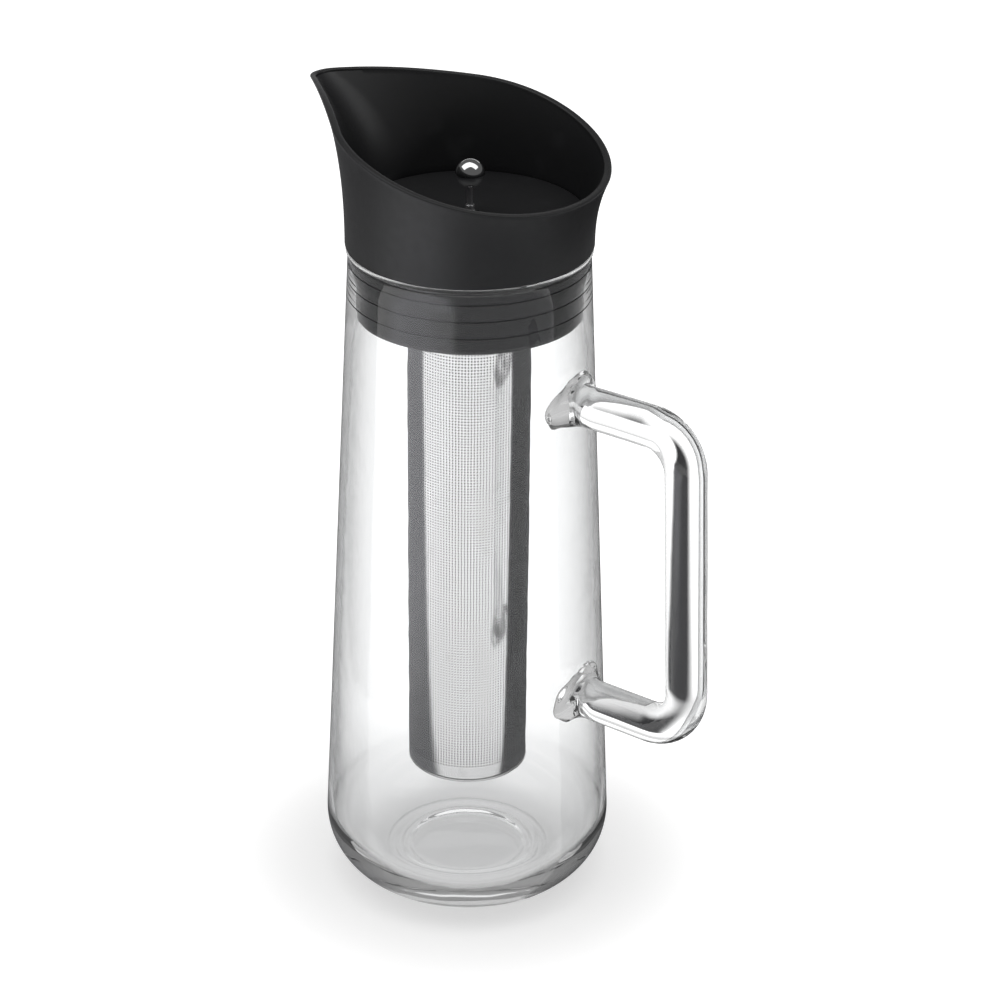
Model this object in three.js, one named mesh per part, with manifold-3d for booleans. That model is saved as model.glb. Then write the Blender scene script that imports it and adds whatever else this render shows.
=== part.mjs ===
// Cold brew coffee maker: a glass carafe with a fused glass handle, a teardrop pouring collar
// plugged into its neck, a lift valve with a ball knob, and a steel filter that hangs inside.
// Millimetres, +Z up. The origin is the middle of the carafe's flat foot. The handle points
// along +X and the spout along -X.

import * as THREE from "three";
import { mergeVertices } from "three/addons/utils/BufferGeometryUtils.js";
import Module from "manifold-3d";

const wasm = await Module();
wasm.setup();

// Clearances
const fitGap = 0.3;
const slideGap = 0.15;
const cutOverrun = 2;
const mergeReach = 0.0001;

// Carafe
const carafeHeight = 245.5;
const neckRadius = 41;
const neckWall = 1.6;
const footRadius = 52.6;
const footCornerRadius = 23.6;
const glassWall = 2;
const glassFloor = 5.5;
const evenWallHeight = 150;
const rippleCount = 2;
const rippleStart = 15;
const rippleWidth = 6.4;
const rippleHeight = 0.9;
const rippleSteps = 4;

// Handle
const rodRadius = 7.1;
const handleTopHeight = 200.3;
const handleBottomHeight = 89;
const handleReach = 50;
const upperBendRadius = 14;
const lowerBendRadius = 16;
const padRadius = 7.9;
const padSpreadShare = 1.38;
const padLength = 8;
const padRimWidth = 1;

// Pouring collar
const collarOverhang = 1.1;
const rimFlare = 4.4;
const spoutLength = 23.7;
const spoutTipRadius = 6.5;
const rimHeightOverHandle = 24.9;
const rimHeightOverMiddle = 36.3;
const rimHeightAtSpoutRoot = 44.2;
const rimHeightAtSpoutTip = 43.2;
const collarWall = 2.6;
const rimCapHeight = 0.9;
const wellWall = 2.3;
const wellDepth = 8.6;
const wellChamfer = 0.8;
const collarFlange = 2.2;
const roundFlareShare = 2.3;
const spoutFlareShare = 2.6;
const tipFlareShare = 0.6;
const flareLeanShare = 0.15;
const outerWallShares = [0, 0.25, 0.45, 0.62, 0.77, 0.89, 1];
const innerWallShares = [1, 0.82, 0.6, 0.32, 0];
const tipCrowdingShare = 0.75;

// Plug in the neck: a rigid core with a finned seal round it
const plugDepth = 24;
const sealPlay = 0.8;
const sealThickness = 1.8;
const finCount = 3;
const finPitch = 6;
const finRoot = 0.9;
const finTip = 0.5;
const coreWall = 1.4;
const coreSeat = 3.9;
const coreFoot = 1.2;
const coreFootInset = 0.3;
const seatChamfer = 0.5;
const windowCount = 6;
const windowRib = 5;
const windowBorder = 1.3;

// Socket that holds the filter, and the guide of the valve's stem
const socketDepth = 15.5;
const socketWall = 1.2;
const socketLip = 0.9;
const socketLipHeight = 1.2;
const gripSection = 0.9;
const gripHeight = 6.5;
const armCount = 3;
const armWidth = 2.4;
const armHeight = 3;
const hubRadius = 5;
const hubHeight = 5;
const bushRadius = 2.6;
const bushFlangeRadius = 4;
const bushFlange = 1;

// Valve
const valveLift = 8;
const discGap = 0.6;
const discThickness = 2.4;
const discChamfer = 0.5;
const discSpigot = 1.1;
const discBossRadius = 7;
const discBossHeight = 1.5;
const valveSealWidth = 2.6;
const valveSealThickness = 1.1;
const stemRadius = 1;
const ballRadius = 5;
const ballHeight = 14;
const ballBore = 4;
const ferruleRadius = 1.8;
const ferruleHeight = 2.6;
const ferruleChamfer = 0.3;
const grommetRadius = 3;
const washerRadius = 2.9;
const washerThickness = 0.5;
const nutAcrossFlats = 4;
const nutHeight = 1.6;
const stemTail = 0.6;

// Filter
const filterRadius = 21.25;
const filterFoot = 45.2;
const filterWall = 0.5;
const rimBandHeight = 9;
const rimFoldHeight = 4;
const basePan = 1;
const basePanRound = 0.4;
const baseSpigot = 5;

// Facets
const glassSides = 46;
const collarSides = 72;
const roundSides = 36;
const stemSides = 16;
const ballSides = 20;
const rodSides = 16;
const rodSteps = 31;
const nutCorners = 6;
const windowSteps = 4;
const cornerSteps = 6;
const ringSteps = 6;
const rimCapSteps = 4;
const roundSteps = 3;
const slopeStepShare = 0.001;

// Heights worked out from the sizes above
const plugFoot = carafeHeight - plugDepth;
const collarFoot = carafeHeight + fitGap;
const coreSeatFoot = collarFoot + collarFlange + fitGap;
const coreSeatTop = coreSeatFoot + coreSeat;
const valveSealFoot = coreSeatTop + fitGap;
const discFoot = valveSealFoot + valveSealThickness + fitGap;
const discTop = discFoot + discThickness;
const ballCentre = discTop + ballHeight;
const socketTop = plugFoot + socketDepth;
const filterTop = socketTop - fitGap;
const bushFlangeFoot = socketTop + hubHeight + fitGap;
const stopTop = socketTop - fitGap - valveLift - fitGap;

// Radii worked out from the sizes above
const neckBoreRadius = neckRadius - neckWall;
const collarFootRadius = neckRadius + collarOverhang;
const collarRimRadius = collarFootRadius + rimFlare;
const spoutReach = collarRimRadius + spoutLength;
const sealRadius = neckBoreRadius - sealPlay;
const wellRadius = collarFootRadius - wellWall;
const coreRadius = sealRadius - sealThickness - fitGap;
const coreBoreRadius = coreRadius - coreWall;
const rimBandRadius = filterRadius + fitGap + filterWall;
const gripRadius = rimBandRadius + fitGap + gripSection;
const socketBoreRadius = rimBandRadius + fitGap + slideGap;
const gripGrooveRadius = gripRadius + gripSection + fitGap;
const socketRadius = gripGrooveRadius + socketWall;
const discRadius = wellRadius - discGap;
const stemBoreRadius = stemRadius + fitGap;

const taper = Math.atan2(footRadius - neckRadius, carafeHeight);
const quarterTurn = Math.PI / 2;

/** Outer radius of the straight, tapering glass wall at a height. */
function wallRadiusAt(height) {
  return THREE.MathUtils.lerp(footRadius, neckRadius, height / carafeHeight);
}

/** A 2-D point: radius or width first, height second. */
function at(across, up) {
  return new THREE.Vector2(across, up);
}

/** Points along a circular arc, both ends included. */
function arc(centre, radius, startAngle, endAngle, steps) {
  const points = [];
  for (let step = 0; step <= steps; step += 1) {
    const angle = THREE.MathUtils.lerp(startAngle, endAngle, step / steps);
    points.push(at(centre.x + radius * Math.cos(angle), centre.y + radius * Math.sin(angle)));
  }
  return points;
}

/** Joins coincident vertices and makes a manifold solid of a closed geometry. */
function toSolid(geometry) {
  const bare = geometry.clone();
  bare.deleteAttribute("normal");
  bare.deleteAttribute("uv");
  const merged = mergeVertices(bare, mergeReach);
  const corners = merged.index.array;
  const triangles = [];
  for (let first = 0; first < corners.length; first += 3) {
    const [a, b, c] = corners.slice(first, first + 3);
    if (a !== b && b !== c && c !== a) {
      triangles.push(a, b, c);
    }
  }
  const mesh = new wasm.Mesh({
    numProp: 3,
    vertProperties: Float32Array.from(merged.attributes.position.array),
    triVerts: Uint32Array.from(triangles),
  });
  return new wasm.Manifold(mesh);
}

/** Solid of a profile turned about +Z. The profile runs up the outside and back down inside. */
function turned(profile, sides) {
  const geometry = new THREE.LatheGeometry(profile, sides);
  geometry.rotateX(quarterTurn);
  return toSolid(geometry);
}

/** Ring whose closed cross-section is turned about +Z. */
function turnedRing(section, sides) {
  return turned([...section, section[0].clone()], sides);
}

/** Plain ring between two radii. */
function plainRing(innerRadius, outerRadius, foot, top, sides) {
  const section = [at(innerRadius, foot), at(outerRadius, foot), at(outerRadius, top), at(innerRadius, top)];
  return turnedRing(section, sides);
}

/** Round bar along +Z. */
function bar(radius, foot, top, sides) {
  return turned([at(0, foot), at(radius, foot), at(radius, top), at(0, top)], sides);
}

/** Solid of a flat shape raised along +Z from a height. */
function raised(shape, height, curveSegments, foot = 0) {
  const geometry = new THREE.ExtrudeGeometry(shape, { depth: height, bevelEnabled: false, curveSegments });
  geometry.translate(0, 0, foot);
  return toSolid(geometry);
}

/** Named mesh of a solid, placed at a height. */
function piece(name, solid, material, height = 0) {
  const { vertProperties, triVerts } = solid.getMesh();
  const geometry = new THREE.BufferGeometry();
  geometry.setAttribute("position", new THREE.BufferAttribute(vertProperties, 3));
  geometry.setIndex(new THREE.BufferAttribute(triVerts, 1));
  geometry.computeVertexNormals();
  const mesh = new THREE.Mesh(geometry, material);
  mesh.name = name;
  mesh.position.z = height;
  return mesh;
}

/** Value at x of the one smooth polynomial through the given stations. */
function throughStations(stations, x) {
  return stations.reduce((sum, station, index) => {
    const others = stations.filter((_, other) => other !== index);
    const weight = others.reduce((product, other) => (product * (x - other.x)) / (station.x - other.x), 1);
    return sum + station.y * weight;
  }, 0);
}

const materials = {
  glass: new THREE.MeshStandardMaterial({
    color: 0xeef3f1,
    roughness: 0.03,
    metalness: 0,
    transparent: true,
    opacity: 0.35,
  }),
  collar: new THREE.MeshStandardMaterial({ color: 0x2b2b2e, roughness: 0.55, metalness: 0 }),
  core: new THREE.MeshStandardMaterial({ color: 0x242427, roughness: 0.5, metalness: 0 }),
  silicone: new THREE.MeshStandardMaterial({ color: 0x38393c, roughness: 0.6, metalness: 0 }),
  polishedSteel: new THREE.MeshStandardMaterial({ color: 0xd6d8da, roughness: 0.08, metalness: 1 }),
  satinSteel: new THREE.MeshStandardMaterial({ color: 0xb9bbbd, roughness: 0.28, metalness: 1 }),
  bush: new THREE.MeshStandardMaterial({ color: 0xe6e4dc, roughness: 0.45, metalness: 0 }),
};

/** Points of the rings that the floor's mould leaves in the glass, from the corner in to the axis. */
function floorRipples() {
  const points = [];
  for (let step = rippleCount * rippleSteps - 1; step >= 0; step -= 1) {
    const swell = (1 - Math.cos((2 * Math.PI * step) / rippleSteps)) / 2;
    points.push(at(rippleStart + (rippleWidth * step) / rippleSteps, glassFloor + rippleHeight * swell));
  }
  points.push(at(0, glassFloor));
  return points;
}

/** Blown glass carafe: tapering wall, wide foot corner, rippled floor and a straight neck bore. */
function carafeBody() {
  const cornerX = wallRadiusAt(0) - footCornerRadius * Math.tan((quarterTurn + taper) / 2);
  const cornerCentre = at(cornerX, footCornerRadius);
  const lipRadius = (neckRadius - neckBoreRadius) / 2;
  const lipCentre = at(neckRadius - lipRadius, carafeHeight - lipRadius);
  const innerCorner = footCornerRadius - glassWall;
  const innerCentre = at(cornerCentre.x, glassFloor + innerCorner);
  return turned(
    [
      at(0, 0),
      ...arc(cornerCentre, footCornerRadius, -quarterTurn, taper, cornerSteps),
      ...arc(lipCentre, lipRadius, 0, Math.PI, rimCapSteps),
      at(neckBoreRadius, plugFoot - coreFoot),
      at(wallRadiusAt(evenWallHeight) - glassWall, evenWallHeight),
      ...arc(innerCentre, innerCorner, taper, -quarterTurn, cornerSteps),
      ...floorRipples(),
    ],
    glassSides,
  );
}

/** Quarter bend of the handle's rod, from one direction into the other. */
class Bend extends THREE.Curve {
  constructor(centre, from, to) {
    super();
    this.centre = centre;
    this.from = from;
    this.to = to;
  }

  getPoint(share, target = new THREE.Vector3()) {
    const angle = share * quarterTurn;
    target.copy(this.centre);
    target.addScaledVector(this.from, Math.cos(angle));
    return target.addScaledVector(this.to, Math.sin(angle));
  }
}

/** Glass rod handle with two fused pads, cut to the carafe's wall. */
function handle() {
  const out = new THREE.Vector3(Math.cos(taper), 0, Math.sin(taper));
  const down = new THREE.Vector3(Math.sin(taper), 0, -Math.cos(taper));
  const from = (start, ...moves) => {
    const place = start.clone();
    moves.forEach(([direction, length]) => place.addScaledVector(direction, length));
    return place;
  };
  const rootDepth = glassWall;
  const upperRoot = new THREE.Vector3(wallRadiusAt(handleTopHeight), 0, handleTopHeight);
  const lowerRoot = new THREE.Vector3(wallRadiusAt(handleBottomHeight), 0, handleBottomHeight);
  const upperCorner = from(upperRoot, [out, handleReach]);
  const lowerCorner = from(lowerRoot, [out, handleReach]);
  const upperCentre = from(upperCorner, [out, -upperBendRadius], [down, upperBendRadius]);
  const lowerCentre = from(lowerCorner, [out, -lowerBendRadius], [down, -lowerBendRadius]);
  const scaled = (direction, length) => direction.clone().multiplyScalar(length);
  const upperBend = new Bend(upperCentre, scaled(down, -upperBendRadius), scaled(out, upperBendRadius));
  const lowerBend = new Bend(lowerCentre, scaled(out, lowerBendRadius), scaled(down, lowerBendRadius));
  const path = new THREE.CurvePath();
  path.add(new THREE.LineCurve3(from(upperRoot, [out, -rootDepth]), upperBend.getPoint(0)));
  path.add(upperBend);
  path.add(new THREE.LineCurve3(upperBend.getPoint(1), lowerBend.getPoint(0)));
  path.add(lowerBend);
  path.add(new THREE.LineCurve3(lowerBend.getPoint(1), from(lowerRoot, [out, -rootDepth])));
  const section = new THREE.Shape().absarc(0, 0, rodRadius, 0, 2 * Math.PI);
  const rod = toSolid(
    new THREE.ExtrudeGeometry(section, { steps: rodSteps, curveSegments: rodSides / 2, extrudePath: path }),
  );
  const pads = [upperRoot, lowerRoot].map((root) => fusedPad(root, rootDepth));
  const wallTop = at(wallRadiusAt(carafeHeight) + fitGap, carafeHeight);
  const wallBottom = at(wallRadiusAt(0) + fitGap, 0);
  const wall = turned([at(0, wallBottom.y), wallBottom, wallTop, at(0, wallTop.y)], glassSides);
  return pads.reduce((whole, pad) => whole.add(pad), rod).subtract(wall);
}

/** Trumpet-shaped pad where the rod's end is fused to the wall, squashed wider than it is high. */
function fusedPad(root, rootDepth) {
  const narrowed = (start, end, share) => THREE.MathUtils.lerp(start, end, 1 - (1 - share) ** 2);
  const flare = [];
  for (let step = 0; step <= cornerSteps; step += 1) {
    const share = step / cornerSteps;
    flare.push(at(narrowed(padRadius, rodRadius, share), padRimWidth + (padLength - padRimWidth) * share));
  }
  const geometry = new THREE.LatheGeometry(
    [at(0, -rootDepth), at(padRadius, -rootDepth), ...flare, at(0, padLength)],
    rodSides,
  );
  const corners = geometry.attributes.position;
  for (let corner = 0; corner < corners.count; corner += 1) {
    const share = THREE.MathUtils.clamp(corners.getY(corner) / padLength, 0, 1);
    corners.setZ(corner, corners.getZ(corner) * narrowed(padSpreadShare, 1, share));
  }
  geometry.rotateX(quarterTurn);
  geometry.rotateY(quarterTurn - taper);
  geometry.translate(root.x, root.y, root.z);
  return toSolid(geometry);
}

/** Radius of a teardrop seen from above: a round with straight tangents to a blunt tip along -X. */
function teardropRadius(angle, roundRadius, reach, tipRadius) {
  const away = Math.abs(Math.PI - angle);
  const tipCentre = reach - tipRadius;
  const tangent = Math.acos(Math.min(1, (roundRadius - tipRadius) / tipCentre));
  const tipEdge = Math.atan2(tipRadius * Math.sin(tangent), tipCentre + tipRadius * Math.cos(tangent));
  if (away >= tangent) {
    return roundRadius;
  }
  if (away >= tipEdge) {
    return roundRadius / Math.cos(tangent - away);
  }
  const across = tipCentre * Math.sin(away);
  return tipCentre * Math.cos(away) + Math.sqrt(tipRadius ** 2 - across ** 2);
}

/** Closed cross-section of the collar's wall and foot flange at one angle round the axis. */
function collarSection(angle) {
  const stations = [
    at(collarRimRadius, rimHeightOverHandle),
    at(0, rimHeightOverMiddle),
    at(-collarRimRadius, rimHeightAtSpoutRoot),
    at(-spoutReach, rimHeightAtSpoutTip),
  ];
  const flare = rimFlare * (1 + flareLeanShare * Math.cos(angle));
  const rimRadius = teardropRadius(angle, collarFootRadius + flare, spoutReach, spoutTipRadius);
  const rimHeight = throughStations(stations, rimRadius * Math.cos(angle));
  const outside = (share) => {
    const roundRadius = collarFootRadius + flare * share ** roundFlareShare;
    const reach = collarFootRadius + (spoutReach - collarFootRadius) * share ** spoutFlareShare;
    const tipRadius = THREE.MathUtils.lerp(roundRadius, spoutTipRadius, share ** tipFlareShare);
    return at(teardropRadius(angle, roundRadius, reach, tipRadius), rimHeight * share);
  };
  const sideways = (share) => {
    const below = Math.max(0, share - slopeStepShare);
    const slope = outside(below + slopeStepShare).sub(outside(below));
    return at(slope.y, -slope.x * (1 - share)).normalize();
  };
  const inside = (share) => outside(share).addScaledVector(sideways(share), -collarWall);
  const cap = [];
  for (let step = 1; step < rimCapSteps; step += 1) {
    const turn = (Math.PI * step) / rimCapSteps;
    const inwards = ((1 - Math.cos(turn)) * collarWall) / 2;
    cap.push(outside(1).add(at(-inwards, rimCapHeight * Math.sin(turn))));
  }
  const wellTop = collarFlange + wellDepth;
  const wellShare = (wellTop + wellChamfer) / rimHeight;
  return [
    ...outerWallShares.map(outside),
    ...cap,
    ...innerWallShares.map((share) => inside(THREE.MathUtils.lerp(wellShare, 1, share))),
    at(wellRadius, wellTop),
    at(wellRadius, collarFlange),
    at(coreRadius + fitGap, collarFlange),
    at(coreRadius + fitGap, 0),
  ];
}

/** Teardrop pouring collar, lofted round the axis with its sections crowded towards the tip. */
function pouringCollar() {
  const sections = [];
  for (let side = 0; side < collarSides; side += 1) {
    const even = (2 * Math.PI * side) / collarSides;
    const angle = even + tipCrowdingShare * Math.sin(even);
    sections.push(collarSection(angle).map((place) => [
      place.x * Math.cos(angle),
      place.x * Math.sin(angle),
      place.y,
    ]));
  }
  const perSection = sections[0].length;
  const index = [];
  for (let side = 0; side < collarSides; side += 1) {
    const here = side * perSection;
    const there = ((side + 1) % collarSides) * perSection;
    for (let step = 0; step < perSection; step += 1) {
      const next = (step + 1) % perSection;
      index.push(here + step, there + step, there + next);
      index.push(here + step, there + next, here + next);
    }
  }
  const geometry = new THREE.BufferGeometry();
  geometry.setAttribute("position", new THREE.Float32BufferAttribute(sections.flat(2), 3));
  geometry.setIndex(index);
  return toSolid(geometry);
}

/** Ring sector for one flow window of the plug's foot. */
function windowShape(innerRadius, outerRadius, middle, halfWidth) {
  const shape = new THREE.Shape();
  shape.absarc(0, 0, outerRadius, middle - halfWidth, middle + halfWidth, false);
  shape.absarc(0, 0, innerRadius, middle + halfWidth, middle - halfWidth, true);
  return shape;
}

/** Rigid core of the plug: valve seat, sleeve, and a windowed foot round the filter's socket. */
function neckCore() {
  const seatFoot = coreSeatFoot - plugFoot;
  const seatTop = coreSeatTop - plugFoot;
  const seatRadius = wellRadius - fitGap;
  const footOuter = sealRadius - coreFootInset;
  const footInner = socketRadius + fitGap;
  const windowInner = footInner + windowBorder;
  const windowOuter = coreBoreRadius - windowBorder;
  const halfRib = windowRib / 2 / windowInner;
  let core = turnedRing(
    [
      at(footInner, 0),
      at(footOuter, 0),
      at(footOuter, coreFoot),
      at(coreRadius, coreFoot),
      at(coreRadius, seatFoot),
      at(seatRadius, seatFoot),
      at(seatRadius, seatTop - seatChamfer),
      at(seatRadius - seatChamfer, seatTop),
      at(coreBoreRadius + seatChamfer, seatTop),
      at(coreBoreRadius, seatTop - seatChamfer),
      at(coreBoreRadius, coreFoot),
      at(footInner, coreFoot),
    ],
    roundSides,
  );
  for (let window = 0; window < windowCount; window += 1) {
    const middle = (Math.PI * (2 * window + 1)) / windowCount;
    const shape = windowShape(windowInner, windowOuter, middle, Math.PI / windowCount - halfRib);
    core = core.subtract(raised(shape, coreFoot + 2 * cutOverrun, windowSteps, -cutOverrun));
  }
  return core;
}

/** Socket in the core's foot: a ring with a groove for the grip ring, and arms to the stem's guide hub. */
function filterSocket() {
  const grooveFoot = gripHeight - gripSection - fitGap;
  const grooveTop = gripHeight + gripSection + fitGap;
  const lipFoot = coreFoot + fitGap;
  const armTop = socketDepth + armHeight;
  const armReach = socketBoreRadius + slideGap;
  const armLength = armReach - bushRadius - fitGap - slideGap;
  let socket = turnedRing(
    [
      at(socketBoreRadius, 0),
      at(socketRadius, 0),
      at(socketRadius, lipFoot),
      at(socketRadius + socketLip, lipFoot),
      at(socketRadius, lipFoot + socketLipHeight),
      at(socketRadius, armTop),
      at(socketBoreRadius, armTop),
      at(socketBoreRadius, grooveTop),
      at(gripGrooveRadius, grooveTop),
      at(gripGrooveRadius, grooveFoot),
      at(socketBoreRadius, grooveFoot),
    ],
    roundSides,
  );
  for (let arm = 0; arm < armCount; arm += 1) {
    const geometry = new THREE.BoxGeometry(armLength, armWidth, armHeight);
    geometry.translate(armReach - armLength / 2, 0, socketDepth + armHeight / 2);
    geometry.rotateZ((2 * Math.PI * arm) / armCount);
    socket = socket.add(toSolid(geometry));
  }
  const hubTop = socketDepth + hubHeight;
  return socket
    .add(bar(hubRadius, socketDepth, hubTop, stemSides))
    .subtract(bar(bushRadius + fitGap, socketDepth - cutOverrun, hubTop + cutOverrun, stemSides));
}

/** Silicone sleeve round the core, with thin fins that wipe the neck's bore. */
function neckSeal() {
  const sleeveFoot = coreFoot + fitGap;
  const sleeveTop = plugDepth;
  const finReach = neckBoreRadius - fitGap;
  const outside = [];
  for (let fin = 1; fin <= finCount; fin += 1) {
    const height = fin * finPitch;
    outside.push(
      at(sealRadius, height - finRoot / 2),
      at(finReach, height - finTip / 2),
      at(finReach, height + finTip / 2),
      at(sealRadius, height + finRoot / 2),
    );
  }
  const innerRadius = sealRadius - sealThickness;
  return turnedRing(
    [
      at(innerRadius, sleeveFoot),
      at(sealRadius, sleeveFoot),
      ...outside,
      at(sealRadius, sleeveTop),
      at(innerRadius, sleeveTop),
    ],
    roundSides,
  );
}

/** Flanged bush in the hub, which guides the stem. */
function guideBush() {
  const foot = -hubHeight - fitGap - fitGap;
  const bore = stemRadius + slideGap;
  return turnedRing(
    [
      at(bore, foot),
      at(bushRadius, foot),
      at(bushRadius, 0),
      at(bushFlangeRadius, 0),
      at(bushFlangeRadius, bushFlange),
      at(bore, bushFlange),
    ],
    stemSides,
  );
}

/** Round-section elastic ring that grips the filter's rim band. */
function gripRing() {
  const section = arc(at(gripRadius, 0), gripSection, 0, 2 * Math.PI, ringSteps);
  return turned(section, roundSides);
}

/** Valve disc: the collar's flat floor, with a spigot for its seal and a boss for the stem. */
function valveDisc() {
  const spigotRadius = discRadius - valveSealWidth - fitGap;
  const hole = grommetRadius + fitGap;
  return turnedRing(
    [
      at(hole, -discBossHeight),
      at(discBossRadius, -discBossHeight),
      at(discBossRadius, 0),
      at(spigotRadius - valveSealWidth, 0),
      at(spigotRadius - valveSealWidth, -discSpigot),
      at(spigotRadius, -discSpigot),
      at(spigotRadius, 0),
      at(discRadius, 0),
      at(discRadius, discThickness - discChamfer),
      at(discRadius - discChamfer, discThickness),
      at(hole, discThickness),
    ],
    roundSides,
  );
}

/** Ball knob with a blind bore for the stem. */
function ballKnob() {
  const mouth = -Math.sqrt(ballRadius ** 2 - stemBoreRadius ** 2);
  const boreTop = ballBore - ballRadius;
  const start = Math.atan2(mouth, stemBoreRadius);
  return turned(
    [
      at(0, boreTop),
      at(stemBoreRadius, boreTop),
      ...arc(at(0, 0), ballRadius, start, quarterTurn, 2 * cornerSteps),
    ],
    ballSides,
  );
}

/** Bright ferrule at the stem's foot, on top of the disc. */
function stemFerrule() {
  return turnedRing(
    [
      at(stemBoreRadius, 0),
      at(ferruleRadius, 0),
      at(ferruleRadius, ferruleHeight - ferruleChamfer),
      at(ferruleRadius - ferruleChamfer, ferruleHeight),
      at(stemBoreRadius, ferruleHeight),
    ],
    stemSides,
  );
}

/** Hexagon nut with a plain bore. */
function hexNut() {
  const cornerRadius = nutAcrossFlats / 2 / Math.cos(Math.PI / nutCorners);
  const shape = new THREE.Shape();
  for (let corner = 0; corner < nutCorners; corner += 1) {
    const angle = (2 * Math.PI * corner) / nutCorners;
    const place = at(cornerRadius * Math.cos(angle), cornerRadius * Math.sin(angle));
    if (corner === 0) {
      shape.moveTo(place.x, place.y);
    } else {
      shape.lineTo(place.x, place.y);
    }
  }
  shape.closePath();
  shape.holes.push(new THREE.Path().absarc(0, 0, stemBoreRadius, 0, 2 * Math.PI, true));
  return raised(shape, nutHeight, stemSides / 2);
}

/** Folded steel rim over the filter tube's top edge. */
function filterRim() {
  const innerFold = filterRadius - filterWall - fitGap;
  const lid = -filterWall;
  return turnedRing(
    [
      at(rimBandRadius - filterWall, -rimBandHeight),
      at(rimBandRadius, -rimBandHeight),
      at(rimBandRadius, 0),
      at(innerFold - filterWall, 0),
      at(innerFold - filterWall, -rimFoldHeight),
      at(innerFold, -rimFoldHeight),
      at(innerFold, lid),
      at(rimBandRadius - filterWall, lid),
    ],
    roundSides,
  );
}

/** Pressed base of the filter, with a spigot that stands inside the tube. */
function filterBase() {
  const spigotRadius = filterRadius - filterWall - fitGap;
  return turned(
    [
      at(0, 0),
      ...arc(at(filterRadius - basePanRound, basePanRound), basePanRound, -quarterTurn, 0, roundSteps),
      at(filterRadius, basePan),
      at(spigotRadius, basePan),
      at(spigotRadius, basePan + baseSpigot),
      at(spigotRadius - filterWall, basePan + baseSpigot),
      at(spigotRadius - filterWall, basePan),
      at(0, basePan),
    ],
    roundSides,
  );
}

/** The carafe with its handle. */
function carafe() {
  const group = new THREE.Group();
  group.add(piece("carafe_body", carafeBody(), materials.glass));
  group.add(piece("handle", handle(), materials.glass));
  return group;
}

/** The collar and the plug below it, which lift out of the neck together. */
function pouringLid() {
  const group = new THREE.Group();
  group.add(piece("pouring_collar", pouringCollar(), materials.collar, collarFoot));
  group.add(piece("neck_core", neckCore(), materials.core, plugFoot));
  group.add(piece("filter_socket", filterSocket(), materials.core, plugFoot));
  group.add(piece("neck_seal", neckSeal(), materials.silicone, plugFoot));
  group.add(piece("guide_bush", guideBush(), materials.bush, bushFlangeFoot));
  group.add(piece("filter_grip_ring", gripRing(), materials.silicone, plugFoot + gripHeight));
  return group;
}

/** The valve: disc, seal, and the stem with its knob, ferrule, washers and nuts. */
function valve() {
  const group = new THREE.Group();
  const sealOuter = discRadius - slideGap;
  const washer = () => plainRing(stemBoreRadius, washerRadius, 0, washerThickness, stemSides);
  const clampTop = discFoot - discBossHeight - fitGap;
  const clampNutTop = clampTop - washerThickness - fitGap;
  const stopNutTop = stopTop - washerThickness - fitGap;
  const stemFoot = stopNutTop - nutHeight - stemTail;
  const stemTop = ballCentre - ballRadius + ballBore - fitGap;
  const valveSeal = plainRing(discRadius - valveSealWidth, sealOuter, 0, valveSealThickness, roundSides);
  const grommet = plainRing(stemBoreRadius, grommetRadius, 0, discThickness + discBossHeight, stemSides);
  const stem = bar(stemRadius, 0, stemTop - stemFoot, stemSides);
  group.add(piece("valve_disc", valveDisc(), materials.collar, discFoot));
  group.add(piece("valve_seal", valveSeal, materials.silicone, valveSealFoot));
  group.add(piece("stem_grommet", grommet, materials.silicone, discFoot - discBossHeight));
  group.add(piece("valve_stem", stem, materials.polishedSteel, stemFoot));
  group.add(piece("ball_knob", ballKnob(), materials.polishedSteel, ballCentre));
  group.add(piece("stem_ferrule", stemFerrule(), materials.polishedSteel, discTop + fitGap));
  group.add(piece("clamp_washer", washer(), materials.polishedSteel, clampTop - washerThickness));
  group.add(piece("clamp_nut", hexNut(), materials.polishedSteel, clampNutTop - nutHeight));
  group.add(piece("stop_washer", washer(), materials.polishedSteel, stopTop - washerThickness));
  group.add(piece("stop_nut", hexNut(), materials.polishedSteel, stopNutTop - nutHeight));
  return group;
}

/** The filter: a steel tube with a folded rim and a pressed base. */
function filter() {
  const group = new THREE.Group();
  const tubeFoot = filterFoot + basePan + fitGap;
  const tubeTop = filterTop - filterWall - fitGap;
  const tube = plainRing(filterRadius - filterWall, filterRadius, 0, tubeTop - tubeFoot, roundSides);
  group.add(piece("filter_tube", tube, materials.satinSteel, tubeFoot));
  group.add(piece("filter_rim", filterRim(), materials.satinSteel, filterTop));
  group.add(piece("filter_base", filterBase(), materials.satinSteel, filterFoot));
  return group;
}

const coffeeMaker = new THREE.Group();
coffeeMaker.name = "cold_brew_coffee_maker";
coffeeMaker.add(carafe(), pouringLid(), valve(), filter());

export default coffeeMaker;
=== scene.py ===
"""Cold brew coffee maker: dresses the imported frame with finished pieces, soft light and a camera."""

import logging
import math
from dataclasses import dataclass
from enum import Enum
from typing import Callable, Sequence

import bmesh
import bpy
from mathutils import Matrix, Vector, noise


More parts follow.
